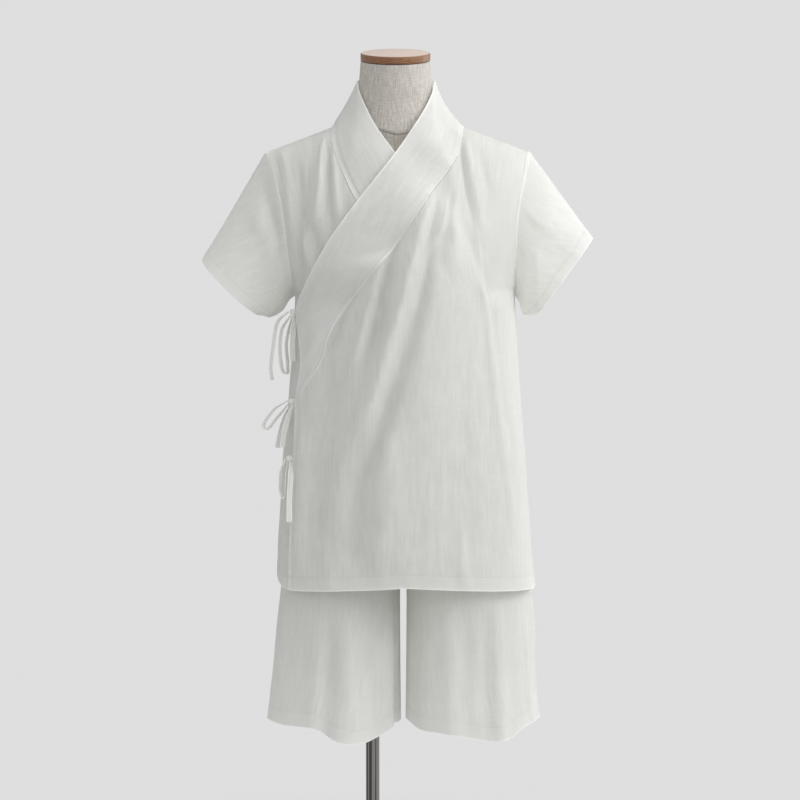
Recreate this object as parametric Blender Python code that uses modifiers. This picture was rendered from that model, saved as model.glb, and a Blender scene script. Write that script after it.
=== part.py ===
"""Hanfu pajama set, a wrap jacket and shorts, on a limbless dress form.

The front faces -Y. The wearer's right is at -X, which is the viewer's left.
The origin is the middle of the base plate's underside, under the pole.
Garment and form are modelled round the neck's axis and hang on the empty
body_axis, because the pole stands off the middle, inside one leg.
"""
import math

import bmesh
import bpy
from mathutils import Vector

# Stand
NECK_AXIS_X = 0.037
POLE_RADIUS = 0.011
BASE_RADIUS = 0.190
BASE_THICKNESS = 0.008
BASE_HUB_RADIUS = 0.030
BASE_HUB_HEIGHT = 0.034
SOCKET_RADIUS = 0.032
SOCKET_THICKNESS = 0.006
CAP_RADIUS = 0.0552
CAP_THICKNESS = 0.0130
NECK_TILT = 0.19

# Walls and the gaps that part the solids
CLOTH = 0.0014
COLLAR_WALL = 0.0024
WAISTBAND_WALL = 0.0024
TIE_WALL = 0.0012
TIE_WIDTH = 0.009
SEAM_GAP = 0.0004
SEAM_STEP = 0.0009
NECKLINE_STEP = 0.0022
ARMHOLE_STEP = 0.0013
SHOULDER_GAP = 0.0016
REST_GAP = 0.0003
WRAP_LIFT = 0.0065

FRONT, BACK = -1, 1
WEARER_RIGHT, WEARER_LEFT = -1, 1

# Jacket, one row per height from the hem to the shoulder line.
# Columns: height at the side, half width, lean of the middle in x, wrap angle
SIDE_ROWS = (
    (0.6670, 0.2060, 0.0170, 90),
    (0.7300, 0.2025, 0.0148, 90),
    (0.8000, 0.1978, 0.0142, 90),
    (0.8800, 0.1927, 0.0137, 90),
    (0.9600, 0.1855, 0.0145, 90),
    (1.0300, 0.1803, 0.0148, 90),
    (1.0850, 0.1768, 0.0152, 90),
    (1.1300, 0.1745, 0.0152, 90),
    (1.1470, 0.1757, 0.0142, 78),
    (1.1700, 0.1768, 0.0125, 68),
    (1.2030, 0.1788, 0.0105, 60),
    (1.2400, 0.1815, 0.0088, 54),
    (1.2780, 0.1870, 0.0082, 50),
    (1.3080, 0.1935, 0.0080, 48),
    (1.3300, 0.1985, 0.0075, 46),
    (1.3460, 0.2030, 0.0062, 45),
    (1.3540, 0.2065, 0.0048, 45),
    (1.3565, 0.2090, 0.0040, 45),
)
# Columns: height at the middle, depth at the middle, depth at the side
FRONT_ROWS = (
    (0.6800, 0.1290, 0.0), (0.7370, 0.1280, 0.0), (0.8020, 0.1270, 0.0),
    (0.8810, 0.1260, 0.0), (0.9610, 0.1255, 0.0), (1.0320, 0.1260, 0.0),
    (1.0900, 0.1275, 0.0), (1.1400, 0.1290, 0.0), (1.1630, 0.1290, 0.025),
    (1.1900, 0.1285, 0.040), (1.2250, 0.1260, 0.050), (1.2680, 0.1190, 0.054),
    (1.3120, 0.1050, 0.050), (1.3500, 0.0880, 0.040), (1.3840, 0.0680, 0.029),
    (1.4110, 0.0470, 0.018), (1.4290, 0.0250, 0.009), (1.4363, 0.0, 0.0),
)
BACK_ROWS = (
    (0.6650, 0.1240, 0.0), (0.7300, 0.1250, 0.0), (0.8000, 0.1260, 0.0),
    (0.8800, 0.1250, 0.0), (0.9600, 0.1190, 0.0), (1.0310, 0.1145, 0.0),
    (1.0880, 0.1135, 0.0), (1.1370, 0.1145, 0.0), (1.1600, 0.1155, 0.022),
    (1.1880, 0.1170, 0.036), (1.2240, 0.1180, 0.046), (1.2670, 0.1170, 0.052),
    (1.3110, 0.1120, 0.052), (1.3500, 0.1020, 0.045), (1.3840, 0.0860, 0.035),
    (1.4110, 0.0640, 0.023), (1.4290, 0.0360, 0.012), (1.4363, 0.0, 0.0),
)
UNDERARM_ROW = 7
SHOULDER_ROW = 17
COLLAR_END_ROW = 4.07
LOWER_ROWS = (0, 0.6, 1.3, 2, 2.7, 3.4, COLLAR_END_ROW, 4.75, 5.5, 6.25)
UPPER_ROWS = (7, 8, 9, 10, 10.5, 11, 11.5, 12, 12.5, 13, 14, 15, 16, 17)
LEFT_HEM_RISE = 0.018
LEFT_HEM_FROM, LEFT_HEM_ROWS = 0.72, 2.0
HEM_ROUNDNESS = 0.70
CHEST_ROUNDNESS = 0.88
ROUND_FROM_ROW = 2
# Rows where the front and back part for the shoulder seam, and creases end
SHOULDER_CALM_ROW = 15.0
SIDE_CALM_FROM = 0.82
CREASE_FADE_IN, CREASE_FADE_OUT = 0.22, 0.70
# How the outer front settles on the under one: above its edge and at the side
WRAP_EDGE_FROM, WRAP_EDGE_TO = 0.002, 0.045
WRAP_SIDE_FROM, WRAP_SIDE_TO = 0.68, 0.95
# Steps for finding the outward direction, and halvings when a place is searched
ROW_STEP, ACROSS_STEP, ALONG_STEP = 0.15, 0.02, 0.03
HALVINGS = 26
RAISE_ROUNDS = 6
SIDE_SHARE_LIMIT = 0.999

# Neckline at the shoulder line and at the middle of the back
NECK_HALF = 0.104
NECK_BACK = 0.072
NECK_ACROSS = 0.478
NECKLINE_ROW = 12
OUTER_COLUMNS, UNDER_COLUMNS = 26, 14
BACK_COLUMNS = (0.0, 0.13, 0.25, 0.35, 0.43, NECK_ACROSS, 0.57, 0.66, 0.75, 0.83, 0.91, 1.0)

# Seam between the collar and each front. Columns: height, x
OUTER_SEAM = (
    (0.9650, -0.1530), (1.0225, -0.1165), (1.0725, -0.0995), (1.1175, -0.0745),
    (1.1555, -0.0425), (1.1930, -0.0135), (1.2265, 0.0135), (1.2650, 0.0380),
    (1.3020, 0.0640), (1.3350, 0.0890), (1.3650, 0.1030), (1.3966, 0.1073),
)
UNDER_SEAM = (
    (0.9650, 0.1350), (1.0225, 0.1050), (1.0725, 0.0880), (1.1175, 0.0620),
    (1.1555, 0.0300), (1.1930, 0.0000), (1.2265, -0.0270), (1.2650, -0.0530),
    (1.3020, -0.0725), (1.3350, -0.0870), (1.3650, -0.0975), (1.3966, -0.1007),
)
# Upper edge of each collar, from the neck's side to the tie.
# Columns: x, height, its own depth, share of the jacket's depth under it
OUTER_EDGE = (
    (0.0618, 1.4697, -0.002, 0.0), (0.0580, 1.4500, 0.028, 0.0),
    (0.0455, 1.4233, 0.055, 0.0), (0.0260, 1.3920, 0.079, 0.0),
    (0.0000, 1.3544, 0.098, 0.3), (-0.0300, 1.3155, 0.114, 0.8),
    (-0.0650, 1.2716, 0.122, 1.0), (-0.1040, 1.2170, 0.110, 1.0),
    (-0.1330, 1.1655, 0.090, 1.0), (-0.1500, 1.1290, 0.060, 1.0),
    (-0.1560, 1.1090, 0.040, 1.0),
)
UNDER_EDGE = (
    (-0.0600, 1.4697, -0.002, 0.0), (-0.0560, 1.4500, 0.027, 0.0),
    (-0.0440, 1.4225, 0.052, 0.0), (-0.0260, 1.3900, 0.074, 0.0),
    (0.0000, 1.3544, 0.091, 0.3), (0.0290, 1.3140, 0.105, 0.9),
    (0.0600, 1.2700, 0.114, 1.0), (0.0960, 1.2150, 0.110, 1.0),
    (0.1200, 1.1640, 0.090, 1.0), (0.1340, 1.1280, 0.060, 1.0),
    (0.1390, 1.1090, 0.040, 1.0),
)
CORNER_ROW = 6.25
NECK_BACK_EDGE = 0.060
NECK_BACK_RISE = 0.0065
COLLAR_STRIPS = 4
COLLAR_END = 0.008
COLLAR_END_CURVE = 4
# The collar's band bows out, but draws in at the sides of the neck
COLLAR_BULGE = 0.004
COLLAR_DRAW = {WEARER_RIGHT: -0.003, WEARER_LEFT: -0.006}
COLLAR_SIDE_FROM, COLLAR_SIDE_TO = 0.65, 0.97
FREE_EDGE_X = {WEARER_LEFT: -0.1520, WEARER_RIGHT: 0.1370}
FREE_EDGE_HEM_X = {WEARER_LEFT: -0.1620, WEARER_RIGHT: 0.1450}

# Creases. Columns: top height, bottom height, x at four even heights from the
# top down, half width, height out from the cloth (a trough is negative)
OUTER_CREASES = (
    (1.320, 0.840, 0.080, 0.026, 0.002, -0.052, 0.0120, 0.0075),
    (1.250, 0.790, 0.064, 0.046, 0.012, -0.030, 0.0130, -0.0045),
    (1.230, 0.990, 0.004, -0.026, -0.044, -0.062, 0.0100, 0.0065),
    (1.270, 0.980, 0.036, -0.006, -0.022, -0.042, 0.0100, -0.0042),
    (1.170, 0.990, -0.034, -0.060, -0.086, -0.104, 0.0100, -0.0042),
    (0.990, 0.730, -0.050, -0.064, -0.076, -0.080, 0.0180, 0.0050),
    (1.385, 1.190, 0.116, 0.122, 0.134, 0.152, 0.0110, -0.0040),
    (1.370, 1.150, 0.098, 0.097, 0.096, 0.102, 0.0110, 0.0045),
    (1.270, 0.720, 0.110, 0.140, 0.164, 0.186, 0.0110, 0.0042),
    (1.120, 0.820, 0.088, 0.100, 0.112, 0.122, 0.0140, -0.0035),
    (0.940, 0.675, -0.136, -0.140, -0.142, -0.146, 0.0130, 0.0036),
    (0.960, 0.690, -0.108, -0.112, -0.114, -0.114, 0.0140, -0.0038),
    (0.900, 0.665, 0.030, 0.036, 0.040, 0.045, 0.0190, 0.0036),
    (0.880, 0.665, -0.020, -0.018, -0.014, -0.010, 0.0150, -0.0030),
    (0.880, 0.665, 0.090, 0.094, 0.100, 0.104, 0.0170, -0.0034),
)
UNDER_CREASES = (
    (1.375, 1.210, -0.112, -0.117, -0.125, -0.138, 0.0110, 0.0050),
    (1.330, 1.180, -0.147, -0.148, -0.150, -0.151, 0.0100, -0.0036),
)
BACK_CREASES = (
    (1.300, 0.700, -0.112, -0.118, -0.112, -0.104, 0.016, 0.0045),
    (1.240, 0.720, -0.066, -0.058, -0.060, -0.066, 0.018, -0.0040),
    (1.200, 0.680, -0.020, -0.012, -0.014, -0.024, 0.020, 0.0035),
    (1.160, 0.700, 0.036, 0.040, 0.048, 0.046, 0.018, -0.0040),
    (1.270, 0.690, 0.098, 0.100, 0.094, 0.100, 0.018, 0.0045),
    (1.120, 0.730, 0.140, 0.142, 0.148, 0.150, 0.014, -0.0030),
)

# Sleeves. Places are (x, depth to the back, height), for the outer end's top
# and its lowest point; the swell is half the opening's depth
SLEEVE_TOP = {WEARER_RIGHT: (-0.3065, 0.004, 1.1880), WEARER_LEFT: (0.3140, 0.010, 1.2210)}
SLEEVE_FOOT = {WEARER_RIGHT: (-0.2140, -0.006, 1.1005), WEARER_LEFT: (0.2260, 0.000, 1.1020)}
SLEEVE_SWELL = {WEARER_RIGHT: 0.046, WEARER_LEFT: 0.037}
# How far the front of the opening bows out past the straight line between them
SLEEVE_BOW = {WEARER_RIGHT: 0.0085, WEARER_LEFT: 0.0}
# How far the underside droops, in even steps from the armhole to the hem
SLEEVE_SAG = {
    WEARER_RIGHT: (0.0, 0.003, 0.0125, 0.0155, 0.0155, 0.0125, 0.0065, 0.0),
    WEARER_LEFT: (0.0, 0.007, 0.020, 0.018, 0.014, 0.010, 0.005, 0.0),
}
SLEEVE_LOW_FROM, SLEEVE_CLEAR, ARMHOLE_EASE = 0.2, 0.003, 0.0005
# Fold across the front of each sleeve, where its outer part turns away.
# Columns: place from the armhole (0) to the hem (1), half width, height
SLEEVE_TURN = {WEARER_RIGHT: (0.50, 0.30, 0.003), WEARER_LEFT: (0.45, 0.20, 0.009)}
SLEEVE_CREASE_START, SLEEVE_CREASE_LOSS = 0.35, 0.4
SLEEVE_RINGS = 7
# Columns: place round the sleeve in degrees from the front towards the top, at
# the armhole and at the hem, half width in degrees, height out from the cloth
SLEEVE_CREASES = (
    (20, 45, 14, 0.0050), (-12, 12, 12, -0.0045), (-45, -30, 14, 0.0040),
    (52, 70, 12, -0.0030), (140, 120, 14, -0.0040), (170, 160, 14, 0.0045),
    (200, 195, 12, -0.0035),
)

# Shorts. Columns: height, half width to the wearer's right, to the left, front
# depth, back depth, half gap between the legs, share of the depth where the
# inner edge stands, roundness of the section
SHORTS_ROWS = (
    (1.0028, 0.1190, 0.1190, 0.0920, 0.0860, 0.0003, 1.00, 1.00),
    (0.9500, 0.1400, 0.1400, 0.1000, 0.0985, 0.0003, 1.00, 1.00),
    (0.9000, 0.1590, 0.1590, 0.1045, 0.1095, 0.0003, 1.00, 1.00),
    (0.8500, 0.1720, 0.1740, 0.1065, 0.1160, 0.0003, 1.00, 1.00),
    (0.8050, 0.1790, 0.1830, 0.1040, 0.1120, 0.0006, 0.97, 1.00),
    (0.7750, 0.1830, 0.1880, 0.0990, 0.1030, 0.0012, 0.80, 1.00),
    (0.7580, 0.1850, 0.1905, 0.0970, 0.0980, 0.0016, 0.50, 1.00),
    (0.7450, 0.1865, 0.1925, 0.0955, 0.0955, 0.0022, 0.00, 1.00),
    (0.7050, 0.1905, 0.1980, 0.0950, 0.0940, 0.0040, 0.00, 0.96),
    (0.6600, 0.1960, 0.2045, 0.0965, 0.0930, 0.0056, 0.00, 0.92),
    (0.6000, 0.2030, 0.2110, 0.0985, 0.0930, 0.0056, 0.00, 0.88),
    (0.5400, 0.2085, 0.2120, 0.1010, 0.0940, 0.0052, 0.00, 0.85),
    (0.4900, 0.2140, 0.2150, 0.1040, 0.0960, 0.0046, 0.00, 0.83),
    (0.4480, 0.2190, 0.2200, 0.1070, 0.0985, 0.0042, 0.00, 0.82),
)
SHORTS_LEAN = 0.0125
SHORTS_COLUMNS = 12
# How far the front hem hangs below its side, in even steps from the side seam
# to the inner edge
HEM_DROPS = {
    WEARER_RIGHT: (0.0, -0.006, -0.007, -0.005, -0.005, -0.003, 0.012, 0.020,
                   0.019, 0.011, 0.0, -0.002, 0.0),
    WEARER_LEFT: (0.0, -0.008, -0.007, 0.0, 0.013, 0.016, 0.012, 0.007,
                  0.004, 0.004, 0.002, -0.005, 0.0),
}
HEM_DROP_TOP = 0.54
WAISTBAND_HEIGHT = 0.030
WAISTBAND_SEGMENTS = 36
# Columns: place round the leg from the side (0) to the inner edge (1) at the
# top and at the hem, half width in that measure, height out from the cloth
LEG_CREASES = {
    (WEARER_RIGHT, FRONT): ((0.66, 0.62, 0.10, 0.0080), (0.40, 0.36, 0.08, -0.0070)),
    (WEARER_LEFT, FRONT): ((0.60, 0.58, 0.09, 0.0060), (0.42, 0.46, 0.06, -0.0070)),
    (WEARER_RIGHT, BACK): ((0.34, 0.38, 0.09, 0.0070), (0.62, 0.64, 0.09, -0.0060)),
    (WEARER_LEFT, BACK): ((0.30, 0.30, 0.10, 0.0060), (0.58, 0.52, 0.08, -0.0070)),
}
LEG_CREASE_TOP, LEG_CREASE_GROWTH = 0.70, 0.16

# Torso. Columns: height, half width, front depth, back depth, power of the
# section's curve (2 is an ellipse), slope of the section towards the front
TORSO_LEVELS = (
    (0.8000, 0.1250, 0.0680, 0.0800, 2.1, 0.0),
    (0.8070, 0.1440, 0.0840, 0.0950, 2.1, 0.0),
    (0.8240, 0.1560, 0.0950, 0.1060, 2.1, 0.0),
    (0.8480, 0.1610, 0.0995, 0.1100, 2.1, 0.0),
    (0.8800, 0.1580, 0.1000, 0.1070, 2.1, 0.0),
    (0.9300, 0.1420, 0.0970, 0.0970, 2.0, 0.0),
    (0.9800, 0.1220, 0.0915, 0.0860, 2.0, 0.0),
    (1.0036, 0.1162, 0.0890, 0.0825, 2.0, 0.0),
    (1.0186, 0.1155, 0.0885, 0.0820, 2.0, 0.0),
    (1.0336, 0.1160, 0.0890, 0.0822, 2.0, 0.0),
    (1.0600, 0.1180, 0.0910, 0.0830, 2.0, 0.0),
    (1.1000, 0.1270, 0.1000, 0.0880, 2.0, 0.0),
    (1.1400, 0.1360, 0.1085, 0.0940, 2.0, 0.0),
    (1.1800, 0.1430, 0.1135, 0.0985, 2.1, 0.0),
    (1.2100, 0.1480, 0.1130, 0.1015, 2.1, 0.0),
    (1.2500, 0.1580, 0.1055, 0.1035, 2.1, 0.0),
    (1.2900, 0.1750, 0.0935, 0.1000, 2.0, 0.0),
    (1.3250, 0.1910, 0.0790, 0.0900, 1.9, 0.0),
    (1.3450, 0.1955, 0.0680, 0.0800, 1.7, 0.0),
    (1.3605, 0.1880, 0.0630, 0.0730, 1.5, 0.0),
    (1.3720, 0.1635, 0.0620, 0.0700, 1.45, 0.0),
    (1.3835, 0.1335, 0.0640, 0.0680, 1.45, 0.02),
    (1.3935, 0.1050, 0.0650, 0.0660, 1.55, 0.05),
    (1.4040, 0.0800, 0.0635, 0.0620, 1.8, 0.08),
    (1.4180, 0.0690, 0.0615, 0.0580, 2.0, 0.12),
    (1.4360, 0.0620, 0.0600, 0.0530, 2.0, 0.15),
    (1.4600, 0.0585, 0.0595, 0.0505, 2.0, NECK_TILT),
    (1.5020, 0.0550, 0.0600, 0.0500, 2.0, NECK_TILT),
)
TORSO_SEGMENTS = 28
TORSO_LEAN = 0.004
WAIST_LEAN = 0.012
NECK_HEIGHTS = (1.40, 1.45)
CHEST_HEIGHTS = (1.10, 1.35)

# Bows at the wearer's right side. Places are (x, depth to the back, height)
KNOT_SIZE = (0.011, 0.009, 0.010)
KNOT_BEVEL = 0.003
KNOTS = {
    "upper": (-0.1617, -0.0491, 1.1057),
    "middle": (-0.1632, -0.0678, 0.9660),
    "lower": (-0.1660, -0.0795, 0.8770),
}
# A strip gathers to this share of its width at the knot, and is full beyond the reach
KNOT_PINCH = 0.5
PINCH_REACH = (0.007, 0.028)
# Each strip: its bow, its route from the knot as offsets, and the way its width points
TIE_STRIPS = {
    "tie_upper_loop_outer": ("upper", (
        (-0.0036, 0.0004, -0.0057), (-0.0172, 0.0060, -0.0277), (-0.0208, 0.0080, -0.0597),
        (-0.0173, 0.0100, -0.0917), (-0.0093, 0.0080, -0.0977), (-0.0083, 0.0040, -0.0817),
        (-0.0103, 0.0040, -0.0467), (-0.0008, 0.0010, -0.0057)), (0.35, 0.94, 0.0)),
    "tie_upper_tail_outer": ("upper", (
        (-0.0069, -0.0010, 0.0010), (-0.0243, -0.0020, -0.0177), (-0.0318, -0.0020, -0.0577),
        (-0.0353, 0.0000, -0.0867), (-0.0328, 0.0020, -0.1077)), (0.60, 0.80, 0.0)),
    "tie_upper_tail_inner": ("upper", (
        (0.0024, -0.0022, -0.0055), (0.0004, -0.0050, -0.0317), (-0.0008, -0.0060, -0.0577),
        (0.0000, -0.0060, -0.0777)), (0.90, 0.40, 0.0)),
    "tie_middle_loop_outer": ("middle", (
        (-0.0064, 0.0000, 0.0010), (-0.0263, 0.0048, -0.0120), (-0.0428, 0.0078, -0.0330),
        (-0.0443, 0.0078, -0.0420), (-0.0373, 0.0058, -0.0440), (-0.0233, 0.0018, -0.0260),
        (-0.0062, 0.0000, -0.0050)), (0.20, 0.98, 0.0)),
    "tie_middle_tail_outer": ("middle", (
        (-0.0020, 0.0026, -0.0057), (-0.0123, 0.0098, -0.0300), (-0.0193, 0.0108, -0.0520),
        (-0.0233, 0.0098, -0.0740)), (0.75, 0.65, 0.0)),
    "tie_middle_tail_inner": ("middle", (
        (0.0020, -0.0026, -0.0057), (-0.0053, -0.0042, -0.0250), (-0.0113, -0.0042, -0.0480),
        (-0.0143, -0.0032, -0.0720)), (0.80, 0.60, 0.0)),
    "tie_lower_loop_outer": ("lower", (
        (-0.0068, 0.0000, -0.0008), (-0.0140, 0.0005, -0.0200), (-0.0150, 0.0015, -0.0480),
        (-0.0110, 0.0025, -0.0620), (-0.0060, 0.0015, -0.0580), (-0.0050, -0.0005, -0.0320),
        (-0.0028, 0.0014, -0.0057)), (0.35, 0.94, 0.0)),
    "tie_lower_tail_inner": ("lower", (
        (0.0022, -0.0024, -0.0055), (0.0020, -0.0135, -0.0300), (0.0000, -0.0165, -0.0640),
        (0.0000, -0.0175, -0.0980)), (0.85, 0.50, 0.0)),
}
STRIP_STEPS = 14


def start_scene():
    """Empty scene with one collection for the object."""
    for item in list(bpy.data.objects):
        bpy.data.objects.remove(item, do_unlink=True)
    parts = bpy.data.collections.new("hanfu_pajama_set_on_form")
    bpy.context.scene.collection.children.link(parts)
    axis = bpy.data.objects.new("body_axis", None)
    axis.location = (NECK_AXIS_X, 0.0, 0.0)
    parts.objects.link(axis)
    return parts, axis


def make_material(name, colour, roughness, metallic=0.0):
    material = bpy.data.materials.new(name)
    material.use_nodes = True
    shader = material.node_tree.nodes["Principled BSDF"]
    shader.inputs["Base Color"].default_value = (*colour, 1.0)
    shader.inputs["Roughness"].default_value = roughness
    shader.inputs["Metallic"].default_value = metallic
    return material


def smooth_value(values, position):
    """Curve through evenly spaced values, read at a fractional index."""
    last = len(values) - 1
    i = min(max(int(position), 0), last - 1)
    t = position - i
    b, c = values[i], values[i + 1]
    a = values[i - 1] if i > 0 else 2 * b - c
    d = values[i + 2] if i + 2 <= last else 2 * c - b
    return b + 0.5 * t * (c - a + t * (2 * a - 5 * b + 4 * c - d + t * (3 * (b - c) + d - a)))


def smooth_step(value, low, high):
    t = min(max((value - low) / (high - low), 0.0), 1.0)
    return t * t * (3 - 2 * t)


def value_at(table, key, column):
    """Column of a table whose first column rises, read at a key between rows."""
    last = len(table) - 1
    i = 0
    while i < last - 1 and table[i + 1][0] < key:
        i += 1
    low, high = table[i], table[i + 1]
    return smooth_value([row[column] for row in table], i + (key - low[0]) / (high[0] - low[0]))


def columns_of(rows):
    return tuple(zip(*rows))


SIDE_COLUMNS = columns_of(SIDE_ROWS)
FACE_COLUMNS = {FRONT: columns_of(FRONT_ROWS), BACK: columns_of(BACK_ROWS)}


def jacket_base(face, across, row):
    """Point of the jacket's smooth form, across from -1 to 1 along a row."""
    side_z, half, lean, wrap = (smooth_value(column, row) for column in SIDE_COLUMNS)
    middle_z, depth, side_depth = (smooth_value(column, row) for column in FACE_COLUMNS[face])
    angle = math.radians(min(wrap, 90))
    side_depth = max(side_depth, 0.0)
    share = math.sin(across * angle) / math.sin(angle)
    bow = max((math.cos(across * angle) - math.cos(angle)) / (1 - math.cos(angle)), 0.0)
    z = middle_z + (side_z - middle_z) * abs(share)
    near_side = smooth_step(-across, LEFT_HEM_FROM, 1.0)
    z += LEFT_HEM_RISE * near_side * (1 - smooth_step(row, 0.0, LEFT_HEM_ROWS))
    round_share = smooth_step(row, ROUND_FROM_ROW, UNDERARM_ROW)
    power = HEM_ROUNDNESS + (CHEST_ROUNDNESS - HEM_ROUNDNESS) * round_share
    y = side_depth + (depth - side_depth) * bow ** power
    gap = SEAM_GAP + (SHOULDER_GAP - SEAM_GAP) * smooth_step(row, SHOULDER_CALM_ROW, SHOULDER_ROW)
    return Vector((lean + half * share, face * (y + gap / 2), z))


def jacket_normal(face, across, row):
    """Outward direction of the smooth form."""
    low, high = max(row - ROW_STEP, 0.0), min(row + ROW_STEP, SHOULDER_ROW)
    left, right = max(across - ACROSS_STEP, -1.0), min(across + ACROSS_STEP, 1.0)
    along = jacket_base(face, right, row) - jacket_base(face, left, row)
    up = jacket_base(face, across, high) - jacket_base(face, across, low)
    return (along.cross(up) * -face).normalized()


def crease_height(creases, x, z):
    """Sum of the creases that pass a place seen from the front."""
    total = 0.0
    for top, bottom, *stations, width, height in creases:
        down = (top - z) / (top - bottom)
        if 0.0 < down < 1.0:
            fade = smooth_step(down, 0.0, CREASE_FADE_IN) * (1 - smooth_step(down, CREASE_FADE_OUT, 1.0))
            offset = (x - smooth_value(stations, 3 * down)) / width
            total += height * fade * math.exp(-offset * offset)
    return total


def jacket_point(face, across, row, creases=(), lift=0.0):
    """Point of the creased cloth, raised by a lift. Seams keep the smooth form."""
    place = jacket_base(face, across, row)
    calm = 1 - smooth_step(abs(across), SIDE_CALM_FROM, 1.0)
    calm *= 1 - smooth_step(row, SHOULDER_CALM_ROW, SHOULDER_ROW)
    rise = crease_height(creases, place.x, place.z) * calm + lift
    return place + jacket_normal(face, across, row) * rise


def wrap_lift(place, across):
    """How far the outer front stands off, where the under front lies inside it."""
    inside = 1.0
    if place.x > 0:
        rising = [(x, z) for x, z, _, _ in UNDER_EDGE if x >= 0.0]
        edge_z = value_at(rising, min(place.x, rising[-1][0]), 1)
        inside = 1 - smooth_step(place.z, edge_z + WRAP_EDGE_FROM, edge_z + WRAP_EDGE_TO)
    return WRAP_LIFT * inside * (1 - smooth_step(across, WRAP_SIDE_FROM, WRAP_SIDE_TO))


def across_of_line(face, row, line_x):
    """Where a row meets a line given as x for a height."""
    low, high = -1.0, 1.0
    for _ in range(HALVINGS):
        middle = (low + high) / 2
        place = jacket_base(face, middle, row)
        if place.x < line_x(place.z):
            low = middle
        else:
            high = middle
    return (low + high) / 2


def located(x, z):
    """The across and row of a place on the front, seen from the front."""
    low, high = 0.0, float(SHOULDER_ROW)
    across = 0.0
    for _ in range(HALVINGS):
        row = (low + high) / 2
        half, lean, wrap = (smooth_value(column, row) for column in SIDE_COLUMNS[1:])
        angle = math.radians(min(wrap, 90))
        share = min(max((x - lean) / half, -SIDE_SHARE_LIMIT), SIDE_SHARE_LIMIT)
        across = math.asin(share * math.sin(angle)) / angle
        if jacket_base(FRONT, across, row).z < z:
            low = row
        else:
            high = row
    return across, row


def raised_place(side, x, z):
    """Point over the front, at an x and height, that stands off by the wrap's lift."""
    target_x, target_z = x, z
    for _ in range(RAISE_ROUNDS):
        across, row = located(target_x, target_z)
        place = jacket_base(FRONT, across, row)
        lift = wrap_lift(place, across) if side == WEARER_LEFT else 0.0
        place += jacket_normal(FRONT, across, row) * lift
        target_x += x - place.x
        target_z += z - place.z
    return Vector((x, place.y, z))


def seam_line(side):
    table = OUTER_SEAM if side == WEARER_LEFT else UNDER_SEAM
    return lambda z: value_at(table, min(max(z, table[0][0]), table[-1][0]), 1)


def free_edge_line(side):
    """Straight edge below the collar, which runs outwards to the hem."""
    top_z = OUTER_SEAM[0][0]
    hem_z = FRONT_ROWS[0][0]

    def line_x(z):
        down = smooth_step(top_z - z, 0.0, top_z - hem_z)
        return FREE_EDGE_X[side] + (FREE_EDGE_HEM_X[side] - FREE_EDGE_X[side]) * down
    return line_x


def front_edge_across(side, row):
    """Where a front panel starts on a row: at the collar's seam or the free edge."""
    line = seam_line(side) if row > COLLAR_END_ROW else free_edge_line(side)
    return across_of_line(FRONT, row, line)


def front_point(side, across, row):
    """Point on a front panel; the outer one is raised over the under one."""
    if side == WEARER_RIGHT:
        return jacket_point(FRONT, across, row, UNDER_CREASES)
    lift = wrap_lift(jacket_base(FRONT, across, row), across)
    return jacket_point(FRONT, across, row, OUTER_CREASES, lift)


def add_mesh(name, points, faces, material, parts, axis):
    mesh = bpy.data.meshes.new(name)
    mesh.from_pydata([tuple(p) for p in points], [], faces)
    mesh.materials.append(material)
    mesh.shade_smooth()
    item = bpy.data.objects.new(name, mesh)
    item.parent = axis
    parts.objects.link(item)
    return item


def add_wall(item, thickness):
    """Gives an open surface its thickness, half to each side."""
    wall = item.modifiers.new("wall", "SOLIDIFY")
    wall.thickness = thickness
    wall.offset = 0.0
    wall.use_even_offset = False
    return item


def grid_faces(rows, columns, ring=False):
    """Quads between rows of points; a ring joins each row's ends."""
    faces = []
    for i in range(rows - 1):
        for j in range(columns if ring else columns - 1):
            k = (j + 1) % columns
            faces.append((i * columns + j, i * columns + k, (i + 1) * columns + k, (i + 1) * columns + j))
    return faces


def front_panel(name, side, column_count, material, parts, axis):
    """A front from its crossed edge to the side seam, armhole and shoulder."""
    points = []
    for row in LOWER_ROWS + UPPER_ROWS:
        start = front_edge_across(side, row)
        for j in range(column_count + 1):
            across = start + (side - start) * j / column_count
            points.append(front_point(side, across, row))
    faces = grid_faces(len(LOWER_ROWS + UPPER_ROWS), column_count + 1)
    return add_wall(add_mesh(name, points, faces, material, parts, axis), CLOTH)


def neckline_row(across):
    """Row of the back's neckline, a half oval behind the neck."""
    if abs(across) >= NECK_ACROSS:
        return float(SHOULDER_ROW)
    low, high = float(NECKLINE_ROW), float(SHOULDER_ROW)
    for _ in range(HALVINGS):
        row = (low + high) / 2
        place = jacket_base(BACK, across, row)
        lean = smooth_value(SIDE_COLUMNS[2], row)
        oval = math.sqrt(max(1 - ((place.x - lean) / NECK_HALF) ** 2, 0.0))
        if place.y > NECK_BACK * oval:
            low = row
        else:
            high = row
    return (low + high) / 2


def back_columns():
    return [-c for c in reversed(BACK_COLUMNS[1:])] + list(BACK_COLUMNS)


def back_panel(material, parts, axis):
    """The back; above the shoulder blades its rows close up under the neckline."""
    points = []
    for row in LOWER_ROWS + UPPER_ROWS:
        for across in back_columns():
            level = row
            if row > NECKLINE_ROW:
                share = (row - NECKLINE_ROW) / (SHOULDER_ROW - NECKLINE_ROW)
                level = NECKLINE_ROW + share * (neckline_row(across) - NECKLINE_ROW)
            points.append(jacket_point(BACK, across, level, BACK_CREASES))
    faces = grid_faces(len(LOWER_ROWS + UPPER_ROWS), len(back_columns()))
    return add_wall(add_mesh("jacket_back", points, faces, material, parts, axis), CLOTH)


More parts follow.
